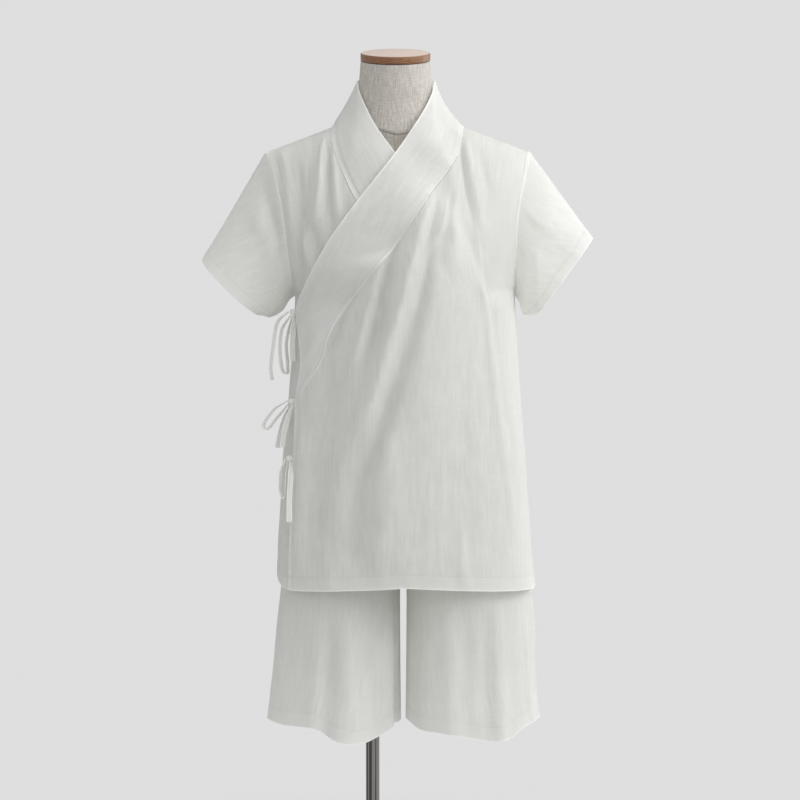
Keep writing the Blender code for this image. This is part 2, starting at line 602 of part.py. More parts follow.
def collar_stations(side):
    """Pairs of seam point and edge point, from the middle of the back to the tie."""
    edge = OUTER_EDGE if side == WEARER_LEFT else UNDER_EDGE
    stations = []
    for across in BACK_COLUMNS[:BACK_COLUMNS.index(NECK_ACROSS)]:
        seam = jacket_point(BACK, side * across, neckline_row(side * across))
        turn = math.acos(min(abs(across) / NECK_ACROSS, 1.0))
        tip = Vector((edge[0][0] * math.cos(turn), NECK_BACK_EDGE * math.sin(turn),
                      edge[0][1] + NECK_BACK_RISE * math.sin(turn)))
        if across == 0.0:
            seam.x = side * SEAM_GAP / 2
            tip.x = seam.x
        stations.append((seam, tip, 0.0))
    rows = [row for row in LOWER_ROWS + UPPER_ROWS if row >= COLLAR_END_ROW]
    rows.reverse()
    corner = rows.index(CORNER_ROW)
    for i, row in enumerate(rows):
        seam = front_point(side, front_edge_across(side, row), row)
        if row == SHOULDER_ROW:
            seam.y = 0.0
        if i <= corner:
            x, z, depth, hold = (smooth_value(column, (len(edge) - 1) * i / corner)
                                 for column in columns_of(edge))
        else:
            down = (i - corner) / (len(rows) - 1 - corner)
            x = edge[-1][0] + (seam.x - edge[-1][0]) * down ** COLLAR_END_CURVE
            z = edge[-1][1] + (seam.z + COLLAR_END - edge[-1][1]) * down
            depth, hold = 0.0, 1.0
        tip = Vector((x, -depth, z))
        stations.append((seam, tip, min(max(hold, 0.0), 1.0)))
    return stations


def collar_point(side, seam, tip, hold, across_band):
    """Point of the band between seam and edge, lying on the chest where it is held."""
    step = SEAM_STEP if seam.y <= 0.0 else NECKLINE_STEP
    start = seam + (tip - seam).normalized() * step
    place = start.lerp(tip, across_band)
    outwards = Vector((place.x, place.y, 0.0)).normalized()
    at_side = smooth_step(abs(outwards.x), COLLAR_SIDE_FROM, COLLAR_SIDE_TO)
    bulge = COLLAR_BULGE + (COLLAR_DRAW[side] - COLLAR_BULGE) * at_side
    free = place + outwards * bulge * 4 * across_band * (1 - across_band)
    if hold == 0.0:
        return free
    kept = start.y - raised_place(side, start.x, start.z).y
    held_y = raised_place(side, place.x, place.z).y + kept * (1 - across_band) ** 2
    return Vector((place.x, free.y + (held_y - free.y) * hold, place.z))


def collar(name, side, material, parts, axis):
    points = []
    stations = collar_stations(side)
    for seam, tip, hold in stations:
        for j in range(COLLAR_STRIPS + 1):
            points.append(collar_point(side, seam, tip, hold, j / COLLAR_STRIPS))
    faces = grid_faces(len(stations), COLLAR_STRIPS + 1)
    return add_wall(add_mesh(name, points, faces, material, parts, axis), COLLAR_WALL)


def armhole_loop(side):
    """Armhole from the underarm up the front and down the back, with each point's turn."""
    loop = []
    count = len(UPPER_ROWS) - 1
    for i, row in enumerate(UPPER_ROWS):
        loop.append((jacket_base(FRONT, side, row), -90 + 180 * i / count))
    for i, row in enumerate(reversed(UPPER_ROWS[1:-1])):
        loop.append((jacket_base(BACK, side, row), 90 + 180 * (i + 1) / count))
    loop[0][0].y = 0.0
    loop[count][0].y = 0.0
    return loop


def sleeve_crease(turn, out):
    """Creases round a sleeve; out runs from the armhole (0) to the hem (1)."""
    total = 0.0
    for start, end, width, height in SLEEVE_CREASES:
        offset = (turn - start - (end - start) * out + 180) % 360 - 180
        total += height * math.exp(-(offset / width) ** 2)
    return total * smooth_step(out, 0.0, SLEEVE_CREASE_START) * (1 - SLEEVE_CREASE_LOSS * out)


def sleeve(name, side, material, parts, axis):
    """Loft from the armhole to the open hem, drooping where no arm fills it."""
    top, foot = Vector(SLEEVE_TOP[side]), Vector(SLEEVE_FOOT[side])
    middle = (top + foot) / 2
    outwards = Vector((top.z - foot.z, 0.0, foot.x - top.x)).normalized() * side
    turn_place, turn_width, turn_height = SLEEVE_TURN[side]
    loop = armhole_loop(side)
    points = []
    for k in range(SLEEVE_RINGS + 1):
        out = k / SLEEVE_RINGS
        for start, turn in loop:
            angle = math.radians(turn)
            end = middle + (top - foot) / 2 * math.sin(angle)
            end += Vector((0.0, -SLEEVE_SWELL[side] * math.cos(angle), 0.0))
            facing_front = max(math.cos(angle), 0.0)
            end += outwards * SLEEVE_BOW[side] * facing_front
            start = start + Vector((side * ARMHOLE_STEP, 0.0, 0.0))
            place = start.lerp(end, out)
            low = smooth_step(-math.sin(angle), SLEEVE_LOW_FROM, 1.0)
            place.z -= low * smooth_value(SLEEVE_SAG[side], (len(SLEEVE_SAG[side]) - 1) * out)
            turned = math.exp(-((out - turn_place) / turn_width) ** 2)
            turned -= math.exp(-(turn_place / turn_width) ** 2)
            place.y -= turn_height * facing_front * turned
            place.x += side * low * (ARMHOLE_EASE + SLEEVE_CLEAR * math.sin(math.pi * out))
            place += Vector((0.0, -math.cos(angle), 0.0)) * sleeve_crease(turn, out)
            points.append(place)
    faces = grid_faces(SLEEVE_RINGS + 1, len(loop), ring=True)
    return add_wall(add_mesh(name, points, faces, material, parts, axis), CLOTH)


def leg_point(side, face, along, row):
    """Point of a leg panel, along from the side seam (0) to its inner edge (1)."""
    z, right, left, front, back, gap, edge_share, power = (
        smooth_value(column, row) for column in columns_of(SHORTS_ROWS))
    outer = right if side == WEARER_RIGHT else left
    depth = front if face == FRONT else back
    full = math.pi - math.asin(min(max(edge_share, 0.0), 1.0))
    angle = along * full
    share = (math.cos(angle) - math.cos(full)) / (1 - math.cos(full))
    x = side * (gap + (outer - gap) * share)
    y = face * (SEAM_GAP / 2 + depth * max(math.sin(angle), 0.0) ** power)
    if face == FRONT:
        hem = smooth_step(HEM_DROP_TOP - z, 0.0, HEM_DROP_TOP - SHORTS_ROWS[-1][0])
        drops = HEM_DROPS[side]
        z -= hem * smooth_value(drops, (len(drops) - 1) * along)
    return Vector((SHORTS_LEAN + x, y, z))


def leg_panel(name, side, face, material, parts, axis):
    rows = len(SHORTS_ROWS)
    points = []
    for i in range(rows):
        for j in range(SHORTS_COLUMNS + 1):
            along = j / SHORTS_COLUMNS
            place = leg_point(side, face, along, i)
            inner = leg_point(side, face, max(along - ALONG_STEP, 0.0), i)
            outer = leg_point(side, face, min(along + ALONG_STEP, 1.0), i)
            normal = (outer - inner).cross(Vector((0.0, 0.0, 1.0))) * side * face
            down = smooth_step(LEG_CREASE_TOP - place.z, 0.0, LEG_CREASE_GROWTH)
            rise = 0.0
            for at_top, at_hem, width, height in LEG_CREASES[(side, face)]:
                offset = (along - at_top - (at_hem - at_top) * i / (rows - 1)) / width
                rise += height * down * math.exp(-offset * offset)
            points.append(place + normal.normalized() * rise)
    faces = grid_faces(rows, SHORTS_COLUMNS + 1)
    return add_wall(add_mesh(name, points, faces, material, parts, axis), CLOTH)


def waistband(material, parts, axis):
    """Casing round the waist, just off the torso."""
    bottom = SHORTS_ROWS[0][0] + 2 * SEAM_GAP
    points = []
    for k in range(3):
        z = bottom + WAISTBAND_HEIGHT * k / 2
        half, front, back = (value_at(TORSO_LEVELS, z, column) for column in (1, 2, 3))
        for j in range(WAISTBAND_SEGMENTS):
            angle = 2 * math.pi * j / WAISTBAND_SEGMENTS
            out = WAISTBAND_WALL / 2 + 2 * REST_GAP
            depth = (back if math.sin(angle) > 0 else front) + out
            points.append((torso_lean(z) + (half + out) * math.cos(angle), depth * math.sin(angle), z))
    faces = grid_faces(3, WAISTBAND_SEGMENTS, ring=True)
    return add_wall(add_mesh("shorts_waistband", points, faces, material, parts, axis), WAISTBAND_WALL)


def strip(name, bow, route, width_way, material, parts, axis):
    """Flat tie that follows its route from the knot."""
    knot = Vector(KNOTS[bow])
    xs, ys, zs = columns_of(route)
    line = []
    for i in range(STRIP_STEPS + 1):
        at = (len(route) - 1) * i / STRIP_STEPS
        line.append(knot + Vector((smooth_value(xs, at), smooth_value(ys, at), smooth_value(zs, at))))
    points = []
    for i, place in enumerate(line):
        along = (line[min(i + 1, STRIP_STEPS)] - line[max(i - 1, 0)]).normalized()
        spread = smooth_step((place - knot).length, *PINCH_REACH)
        half_width = TIE_WIDTH / 2 * (KNOT_PINCH + (1 - KNOT_PINCH) * spread)
        way = Vector(width_way)
        way = (way - along * way.dot(along)).normalized() * half_width
        points += [place - way, place + way]
    faces = grid_faces(STRIP_STEPS + 1, 2)
    return add_wall(add_mesh(name, points, faces, material, parts, axis), TIE_WALL)


def knot(name, place, material, parts, axis):
    """Small wound knot, a rounded block."""
    mesh = bpy.data.meshes.new(name)
    shape = bmesh.new()
    bmesh.ops.create_cube(shape, size=1.0)
    bmesh.ops.scale(shape, vec=KNOT_SIZE, verts=shape.verts)
    bmesh.ops.bevel(shape, geom=list(shape.edges), offset=KNOT_BEVEL, segments=2, affect="EDGES",
                    profile=0.5)
    shape.to_mesh(mesh)
    shape.free()
    mesh.materials.append(material)
    mesh.shade_smooth()
    item = bpy.data.objects.new(name, mesh)
    item.location = place
    item.parent = axis
    parts.objects.link(item)
    return item


def torso_lean(z):
    """The torso leans to the wearer's left, and the neck stands on the axis."""
    shoulder = TORSO_LEAN * (1 - smooth_step(z, *NECK_HEIGHTS))
    return shoulder + (WAIST_LEAN - TORSO_LEAN) * (1 - smooth_step(z, *CHEST_HEIGHTS))


def torso(material, parts, axis):
    """Smooth padded torso and neck, closed plainly above the crotch."""
    points = []
    for z, half, front, back, power, slope in TORSO_LEVELS:
        for j in range(TORSO_SEGMENTS):
            angle = 2 * math.pi * j / TORSO_SEGMENTS
            c, s = math.cos(angle), math.sin(angle)
            x = half * math.copysign(abs(c) ** (2 / power), c)
            depth = back if s > 0 else front
            y = depth * math.copysign(abs(s) ** (2 / power), s)
            points.append((torso_lean(z) + x, y, z + slope * y))
    faces = grid_faces(len(TORSO_LEVELS), TORSO_SEGMENTS, ring=True)
    last = (len(TORSO_LEVELS) - 1) * TORSO_SEGMENTS
    faces.append(tuple(reversed(range(TORSO_SEGMENTS))))
    faces.append(tuple(range(last, last + TORSO_SEGMENTS)))
    return add_mesh("form_torso", points, faces, material, parts, axis)


def turned(name, radius, height, place, material, parts, axis, bevel=0.0, segments=32, tilt=0.0):
    """Upright round piece whose underside stands at a place."""
    bpy.ops.mesh.primitive_cylinder_add(vertices=segments, radius=radius, depth=height)
    item = bpy.context.object
    item.name = name
    item.data.name = name
    way = Vector((0.0, -math.sin(tilt), math.cos(tilt)))
    item.location = Vector(place) + way * height / 2
    item.rotation_euler = (tilt, 0.0, 0.0)
    item.parent = axis
    for home in list(item.users_collection):
        home.objects.unlink(item)
    parts.objects.link(item)
    item.data.materials.append(material)
    item.data.shade_smooth()
    item.data.set_sharp_from_angle(angle=math.radians(40))
    if bevel:
        edge = item.modifiers.new("edge", "BEVEL")
        edge.width = bevel
        edge.segments = 2
        edge.limit_method = "ANGLE"
    return item


def stand(linen, wood, steel, enamel, parts, axis):
    torso(linen, parts, axis)
    tilt = math.atan(NECK_TILT)
    top = TORSO_LEVELS[-1]
    middle_y = (top[3] - top[2]) / 2
    under_cap = (0.0, middle_y - REST_GAP * math.sin(tilt), top[0] + NECK_TILT * middle_y + REST_GAP)
    turned("neck_cap", CAP_RADIUS, CAP_THICKNESS, under_cap, wood, parts, axis, 0.002, 36, tilt)
    pole_x = -NECK_AXIS_X
    socket_z = TORSO_LEVELS[0][0] - REST_GAP - SOCKET_THICKNESS
    pole_top = socket_z - REST_GAP
    hub_top = BASE_THICKNESS + REST_GAP + BASE_HUB_HEIGHT
    turned("pole_socket", SOCKET_RADIUS, SOCKET_THICKNESS, (pole_x, 0.0, socket_z), steel, parts, axis,
           0.001, 28)
    turned("pole", POLE_RADIUS, pole_top - hub_top - REST_GAP, (pole_x, 0.0, hub_top + REST_GAP), steel,
           parts, axis, 0.0, 24)
    turned("base_hub", BASE_HUB_RADIUS, BASE_HUB_HEIGHT, (pole_x, 0.0, BASE_THICKNESS + REST_GAP),
           enamel, parts, axis, 0.004, 32)
    turned("base_plate", BASE_RADIUS, BASE_THICKNESS, (pole_x, 0.0, 0.0), enamel, parts, axis, 0.002, 48)


def jacket(cotton, parts, axis):
    back_panel(cotton, parts, axis)
    front_panel("jacket_front_outer", WEARER_LEFT, OUTER_COLUMNS, cotton, parts, axis)
    front_panel("jacket_front_under", WEARER_RIGHT, UNDER_COLUMNS, cotton, parts, axis)
    collar("collar_outer", WEARER_LEFT, cotton, parts, axis)
    collar("collar_under", WEARER_RIGHT, cotton, parts, axis)
    sleeve("sleeve_right", WEARER_RIGHT, cotton, parts, axis)
    sleeve("sleeve_left", WEARER_LEFT, cotton, parts, axis)


def shorts(cotton, parts, axis):
    for side, side_name in ((WEARER_RIGHT, "right"), (WEARER_LEFT, "left")):
        for face, face_name in ((FRONT, "front"), (BACK, "back")):
            leg_panel("shorts_%s_%s" % (face_name, side_name), side, face, cotton, parts, axis)
    waistband(cotton, parts, axis)


def ties(cotton, parts, axis):
    for bow, place in KNOTS.items():
        knot("tie_%s_knot" % bow, place, cotton, parts, axis)
    for name, (bow, route, width_way) in TIE_STRIPS.items():
        strip(name, bow, route, width_way, cotton, parts, axis)


def main():
    parts, axis = start_scene()
    cotton = make_material("white_cotton", (0.80, 0.81, 0.79), 0.85)
    linen = make_material("linen_cover", (0.56, 0.53, 0.49), 0.9)
    wood = make_material("oiled_oak", (0.52, 0.33, 0.19), 0.5)
    steel = make_material("dark_steel", (0.16, 0.17, 0.18), 0.35, 1.0)
    enamel = make_material("grey_enamel", (0.14, 0.15, 0.16), 0.45)
    stand(linen, wood, steel, enamel, parts, axis)
    jacket(cotton, parts, axis)
    shorts(cotton, parts, axis)
    ties(cotton, parts, axis)


main()
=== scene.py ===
"""Hanfu pajama set, a wrap jacket and shorts, on a limbless dress form.

The front faces -Y and the wearer's right is at -X. Cloth and form are worked
out round the neck's axis, which stands NECK_AXIS_X beside the pole.
"""

import math

import bpy
import numpy as np
from bpy.props import FloatProperty, FloatVectorProperty, PointerProperty
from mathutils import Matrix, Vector


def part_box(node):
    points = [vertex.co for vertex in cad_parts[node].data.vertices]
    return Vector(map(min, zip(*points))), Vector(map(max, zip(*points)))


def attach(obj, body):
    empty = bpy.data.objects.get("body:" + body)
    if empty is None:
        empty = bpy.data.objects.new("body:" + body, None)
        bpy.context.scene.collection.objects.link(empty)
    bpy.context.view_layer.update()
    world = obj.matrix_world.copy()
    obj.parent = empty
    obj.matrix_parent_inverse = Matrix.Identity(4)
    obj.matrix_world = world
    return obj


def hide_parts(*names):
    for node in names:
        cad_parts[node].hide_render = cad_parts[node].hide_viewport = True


bl_info = {
    "name": "Hanfu pajama set on a dress form",
    "version": (1, 0, 0),
    "blender": (4, 5, 0),
    "location": "3D View > Sidebar > Pajama set",
    "description": "Dresses a dress form in a white wrap jacket and shorts",
    "category": "Add Mesh",
}

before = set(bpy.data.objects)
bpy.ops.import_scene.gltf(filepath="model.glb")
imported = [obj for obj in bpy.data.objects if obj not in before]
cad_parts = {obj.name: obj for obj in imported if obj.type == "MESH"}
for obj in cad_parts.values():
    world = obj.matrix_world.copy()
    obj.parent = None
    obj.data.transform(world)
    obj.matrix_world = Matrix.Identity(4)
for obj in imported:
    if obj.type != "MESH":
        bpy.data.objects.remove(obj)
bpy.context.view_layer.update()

NECK_AXIS_X = 0.037
FRONT, BACK = -1, 1
WEARER_RIGHT, WEARER_LEFT = -1, 1
SIDE_NAMES = {WEARER_RIGHT: "right", WEARER_LEFT: "left"}

# Radians in a wave, and a distance past every seam and stitch
WAVE, FAR = 6.28, 1.0
# Gaps between pieces
SEAM_GAP = 0.0004
SEAM_STEP = 0.0009
NECKLINE_STEP = 0.0022
ARMHOLE_STEP = 0.0013
SHOULDER_GAP = 0.0016
WRAP_LIFT = 0.0065

# Jacket, one row per height from the hem to the shoulder line.
# Columns: height at the side, half width, lean of the middle in x, wrap angle
SIDE_ROWS = (
    (0.6670, 0.2060, 0.0170, 90), (0.7300, 0.2025, 0.0148, 90), (0.8000, 0.1978, 0.0142, 90),
    (0.8800, 0.1927, 0.0137, 90), (0.9600, 0.1855, 0.0145, 90), (1.0300, 0.1803, 0.0148, 90),
    (1.0850, 0.1768, 0.0152, 90), (1.1300, 0.1745, 0.0152, 90), (1.1470, 0.1757, 0.0142, 78),
    (1.1700, 0.1768, 0.0125, 68), (1.2030, 0.1788, 0.0105, 60), (1.2400, 0.1815, 0.0088, 54),
    (1.2780, 0.1870, 0.0082, 50), (1.3080, 0.1935, 0.0080, 48), (1.3300, 0.1985, 0.0075, 46),
    (1.3460, 0.2030, 0.0062, 45), (1.3540, 0.2065, 0.0048, 45), (1.3565, 0.2090, 0.0040, 45),
)
# Columns: height at the middle, depth at the middle, depth at the side
FRONT_ROWS = (
    (0.6800, 0.1290, 0.0), (0.7370, 0.1280, 0.0), (0.8020, 0.1270, 0.0),
    (0.8810, 0.1260, 0.0), (0.9610, 0.1255, 0.0), (1.0320, 0.1260, 0.0),
    (1.0900, 0.1275, 0.0), (1.1400, 0.1290, 0.0), (1.1630, 0.1290, 0.025),
    (1.1900, 0.1285, 0.040), (1.2250, 0.1260, 0.050), (1.2680, 0.1190, 0.054),
    (1.3120, 0.1050, 0.050), (1.3500, 0.0880, 0.040), (1.3840, 0.0680, 0.029),
    (1.4110, 0.0470, 0.018), (1.4290, 0.0250, 0.009), (1.4363, 0.0, 0.0),
)
BACK_ROWS = (
    (0.6650, 0.1240, 0.0), (0.7300, 0.1250, 0.0), (0.8000, 0.1260, 0.0),
    (0.8800, 0.1250, 0.0), (0.9600, 0.1190, 0.0), (1.0310, 0.1145, 0.0),
    (1.0880, 0.1135, 0.0), (1.1370, 0.1145, 0.0), (1.1600, 0.1155, 0.022),
    (1.1880, 0.1170, 0.036), (1.2240, 0.1180, 0.046), (1.2670, 0.1170, 0.052),
    (1.3110, 0.1120, 0.052), (1.3500, 0.1020, 0.045), (1.3840, 0.0860, 0.035),
    (1.4110, 0.0640, 0.023), (1.4290, 0.0360, 0.012), (1.4363, 0.0, 0.0),
)
# Places in those rows, which may lie between two of them
UNDERARM_ROW, NECKLINE_ROW, SHOULDER_ROW = 7, 12, 17
COLLAR_END_ROW, FREE_EDGE_TOP_ROW = 4.07, 4.09
CORNER_ROW = 6.25
UPPER_ROWS = (7, 8, 9, 10, 10.5, 11, 11.5, 12, 12.5, 13, 14, 15, 16, 17)
BAND_ROWS = (COLLAR_END_ROW, 4.75, 5.5, CORNER_ROW) + UPPER_ROWS
# The hem rises at the wearer's right; the section is squarer at the hem
RIGHT_HEM_RISE, RIGHT_HEM_FROM, RIGHT_HEM_ROWS = 0.018, 0.72, 2.0
HEM_ROUNDNESS, CHEST_ROUNDNESS, ROUND_FROM_ROW = 0.70, 0.88, 2
# Where creases fade out towards the shoulder and side seams, and where the outer
# front's lift over the under front ends, above the under edge and at the side
SHOULDER_CALM_ROW, SIDE_CALM_FROM = 15.0, 0.82
WRAP_EDGE_FROM, WRAP_EDGE_TO = 0.002, 0.045
WRAP_SIDE_FROM, WRAP_SIDE_TO = 0.68, 0.95
# Steps for slopes and rounds for searches
ROW_STEP, ACROSS_STEP, ALONG_STEP = 0.15, 0.02, 0.03
HALVINGS, RAISE_ROUNDS, SIDE_SHARE_LIMIT = 26, 6, 0.999
# The back's neckline: half width, depth, and place of its ends across the back
NECK_HALF, NECK_BACK, NECK_ACROSS = 0.104, 0.072, 0.478

# Seam between the collar and each front. Columns: height, x
SEAMS = {
    WEARER_LEFT: (
        (0.9650, -0.1530), (1.0225, -0.1165), (1.0725, -0.0995), (1.1175, -0.0745),
        (1.1555, -0.0425), (1.1930, -0.0135), (1.2265, 0.0135), (1.2650, 0.0380),
        (1.3020, 0.0640), (1.3350, 0.0890), (1.3650, 0.1030), (1.3966, 0.1073)),
    WEARER_RIGHT: (
        (0.9650, 0.1350), (1.0225, 0.1050), (1.0725, 0.0880), (1.1175, 0.0620),
        (1.1555, 0.0300), (1.1930, 0.0000), (1.2265, -0.0270), (1.2650, -0.0530),
        (1.3020, -0.0725), (1.3350, -0.0870), (1.3650, -0.0975), (1.3966, -0.1007)),
}
# Upper edge of each collar, from the neck's side to the tie.
# Columns: x, height, its own depth, share of the jacket's depth under it
EDGES = {
    WEARER_LEFT: (
        (0.0618, 1.4697, -0.002, 0.0), (0.0580, 1.4500, 0.028, 0.0), (0.0455, 1.4233, 0.055, 0.0),
        (0.0260, 1.3920, 0.079, 0.0), (0.0000, 1.3544, 0.098, 0.3), (-0.0300, 1.3155, 0.114, 0.8),
        (-0.0650, 1.2716, 0.122, 1.0), (-0.1040, 1.2170, 0.110, 1.0), (-0.1330, 1.1655, 0.090, 1.0),
        (-0.1500, 1.1290, 0.060, 1.0), (-0.1560, 1.1090, 0.040, 1.0)),
    WEARER_RIGHT: (
        (-0.0600, 1.4697, -0.002, 0.0), (-0.0560, 1.4500, 0.027, 0.0), (-0.0440, 1.4225, 0.052, 0.0),
        (-0.0260, 1.3900, 0.074, 0.0), (0.0000, 1.3544, 0.091, 0.3), (0.0290, 1.3140, 0.105, 0.9),
        (0.0600, 1.2700, 0.114, 1.0), (0.0960, 1.2150, 0.110, 1.0), (0.1200, 1.1640, 0.090, 1.0),
        (0.1340, 1.1280, 0.060, 1.0), (0.1390, 1.1090, 0.040, 1.0)),
}
NECK_BACK_EDGE, NECK_BACK_RISE = 0.060, 0.0065
COLLAR_STRIPS, BAND_PARTS, COLLAR_PARTS = 4, 2, (4, 14)
# Height of the collar's end above its seam, and how late it tapers to that
COLLAR_END, COLLAR_END_CURVE = 0.008, 4
# The collar's band bows out, but draws in at the sides of the neck
COLLAR_BULGE = 0.004
COLLAR_DRAW = {WEARER_RIGHT: -0.003, WEARER_LEFT: -0.006}
COLLAR_SIDE_FROM, COLLAR_SIDE_TO = 0.65, 0.97
# Dip beside the outer collar's seam: its distance, height, half width, half length, depth
COLLAR_DIP = (0.020, 1.055, 0.010, 0.036, 0.0040)
# The collar's seam band: where it starts and ends, its height, its soft bulge and
# the end of its doubled layers. A stitched line is (distance from the seam, shift
# of its puckers). A long shallow wave runs along the whole collar
SEAM_BAND, SEAM_BAND_HEIGHT = ((0.0006, 0.0020), (0.0100, 0.0118)), 0.0007
SEAM_BAND_MIDDLE, SEAM_BAND_HALF, SEAM_BAND_DOUBLED = 0.0062, 0.003, (0.0104, 0.0122)
COLLAR_STITCHES = ((0.0022, 0.0), (0.0096, 0.004))
COLLAR_GROOVE, COLLAR_GROOVE_WIDTH, COLLAR_PUCKER = 0.0005, 0.0010, 0.8
COLLAR_WAVE_HEIGHT, COLLAR_WAVE_LENGTH = 0.0009, 0.13
COLLAR_RUMPLE, COLLAR_RUMPLE_RISE = 0.8, 0.4
FREE_EDGE_X = {WEARER_LEFT: -0.1520, WEARER_RIGHT: 0.1370}
FREE_EDGE_HEM_X = {WEARER_LEFT: -0.1620, WEARER_RIGHT: 0.1450}
BACK_COLUMNS = (0.0, 0.13, 0.25, 0.35, 0.43)

# Creases. Columns: top height, bottom height, x at four even heights from the
# top down, half width, height out from the cloth (a trough is negative)
OUTER_CREASES = (
    (1.345, 0.600, 0.070, 0.048, 0.004, -0.010, 0.0560, 0.0118),
    (1.335, 0.830, 0.066, 0.018, -0.027, -0.090, 0.0105, 0.0118),
    (1.020, 0.720, -0.034, -0.056, -0.078, -0.098, 0.0200, 0.0050),
    (1.280, 0.740, 0.063, 0.032, -0.024, -0.078, 0.0110, -0.0088),
    (1.250, 0.960, 0.003, -0.030, -0.052, -0.074, 0.0090, 0.0108),
    (1.285, 0.990, 0.039, -0.007, -0.028, -0.062, 0.0090, -0.0084),
    (1.190, 1.000, -0.043, -0.068, -0.096, -0.122, 0.0075, -0.0070),
    (1.180, 1.020, -0.059, -0.080, -0.101, -0.120, 0.0060, 0.0030),
    (1.060, 0.700, -0.088, -0.106, -0.119, -0.126, 0.0140, -0.0046),
    (0.960, 0.660, -0.140, -0.144, -0.147, -0.150, 0.0100, 0.0036),
    (1.390, 1.225, 0.102, 0.106, 0.114, 0.129, 0.0050, -0.0056),
    (1.385, 1.200, 0.080, 0.088, 0.088, 0.092, 0.0080, 0.0050),
    (1.345, 1.240, 0.078, 0.064, 0.050, 0.034, 0.0050, -0.0028),
    (1.385, 1.210, 0.110, 0.118, 0.127, 0.137, 0.0055, 0.0034),
    (1.370, 1.270, 0.130, 0.137, 0.144, 0.152, 0.0055, -0.0028),
    (1.310, 0.690, 0.116, 0.138, 0.164, 0.193, 0.0052, 0.0026),
    (1.300, 0.760, 0.104, 0.124, 0.148, 0.170, 0.0120, -0.0010),
    (0.905, 0.690, 0.0705, 0.069, 0.066, 0.064, 0.0050, 0.0018),
    (0.880, 0.700, 0.055, 0.053, 0.052, 0.051, 0.0050, 0.0014),
    (1.180, 0.668, 0.098, 0.104, 0.108, 0.116, 0.0200, -0.0020),
    (0.800, 0.664, 0.099, 0.101, 0.103, 0.105, 0.0060, 0.0028),
    (0.820, 0.664, -0.006, -0.004, -0.002, 0.000, 0.0120, -0.0026),
    (0.760, 0.664, -0.106, -0.104, -0.102, -0.102, 0.0080, 0.0020),
    (1.080, 0.860, -0.062, -0.084, -0.104, -0.124, 0.0060, 0.0022),
    (0.940, 0.780, -0.004, -0.014, -0.024, -0.034, 0.0070, 0.0020),
    (0.960, 0.664, -0.044, -0.058, -0.062, -0.060, 0.0170, -0.0076),
    (0.940, 0.664, -0.002, -0.010, -0.012, -0.010, 0.0180, 0.0058),
    (1.300, 1.165, 0.071, 0.058, 0.045, 0.026, 0.0042, -0.0030),
    (1.305, 1.205, 0.090, 0.084, 0.077, 0.069, 0.0036, -0.0022),
    (1.290, 1.215, 0.080, 0.075, 0.069, 0.062, 0.0032, 0.0022),
    (1.245, 1.165, 0.090, 0.088, 0.086, 0.084, 0.0080, 0.0034),
    (1.240, 1.160, 0.067, 0.067, 0.066, 0.064, 0.0070, -0.0032),
    (1.345, 1.255, 0.094, 0.090, 0.087, 0.082, 0.0036, -0.0020),
    (1.180, 1.060, 0.020, 0.008, -0.004, -0.014, 0.0040, -0.0016),
    (1.120, 0.960, 0.052, 0.044, 0.036, 0.028, 0.0050, 0.0014),
)
UNDER_CREASES = (
    (1.290, 0.730, 0.063, 0.032, -0.024, -0.078, 0.0150, -0.0064),
    (1.390, 1.220, -0.112, -0.116, -0.120, -0.128, 0.0050, 0.0046),
    (1.380, 1.215, -0.105, -0.105, -0.103, -0.100, 0.0055, -0.0044),
    (1.370, 1.240, -0.097, -0.094, -0.091, -0.087, 0.0050, 0.0036),
    (1.345, 1.120, -0.150, -0.151, -0.155, -0.156, 0.0100, -0.0064),
    (1.255, 1.165, -0.150, -0.144, -0.138, -0.133, 0.0060, 0.0034),
    (1.250, 1.170, -0.130, -0.126, -0.122, -0.119, 0.0070, -0.0036),
    (1.375, 1.240, -0.180, -0.176, -0.172, -0.168, 0.0080, 0.0036),
    (1.345, 1.205, -0.134, -0.138, -0.144, -0.152, 0.0065, -0.0036),
    (1.300, 1.150, -0.168, -0.166, -0.166, -0.166, 0.0060, 0.0022),
)
BACK_CREASES = (
    (1.300, 0.700, -0.112, -0.118, -0.112, -0.104, 0.0150, 0.0045),
    (1.240, 0.720, -0.066, -0.058, -0.060, -0.066, 0.0170, -0.0040),
    (1.200, 0.680, -0.020, -0.012, -0.014, -0.024, 0.0190, 0.0035),
    (1.160, 0.700, 0.036, 0.040, 0.048, 0.046, 0.0170, -0.0040),
    (1.270, 0.690, 0.098, 0.100, 0.094, 0.100, 0.0160, 0.0045),
    (1.120, 0.730, 0.140, 0.142, 0.148, 0.150, 0.0130, -0.0030),
    (1.350, 1.090, -0.128, -0.112, -0.098, -0.090, 0.0080, 0.0028),
    (1.340, 1.120, 0.132, 0.118, 0.106, 0.094, 0.0080, 0.0026),
    (1.310, 1.060, 0.076, 0.068, 0.066, 0.070, 0.0070, -0.0022),
    (0.980, 0.670, 0.010, 0.016, 0.020, 0.018, 0.0080, 0.0020),
    (0.900, 0.668, -0.134, -0.138, -0.140, -0.142, 0.0090, 0.0022),
    (1.060, 0.860, -0.040, -0.036, -0.038, -0.044, 0.0070, -0.0018),
)
CREASE_FADE_IN, CREASE_FADE_OUT = 0.22, 0.70
CREASE_START_WIDTH, CREASE_SPREAD = 0.80, 0.55
# Small unevenness. Pairs are (smallest, range) of a wave's size and its bend's length
RUMPLE_WAVES, RUMPLE_SCALE, RUMPLE_SIZES = 14, 9, (0.016, 0.050)
RUMPLE_SLOPE, RUMPLE_TWIST = 0.55, 0.35
RUMPLE_BEND, RUMPLE_BEND_LENGTHS = 0.012, (0.09, 0.2)

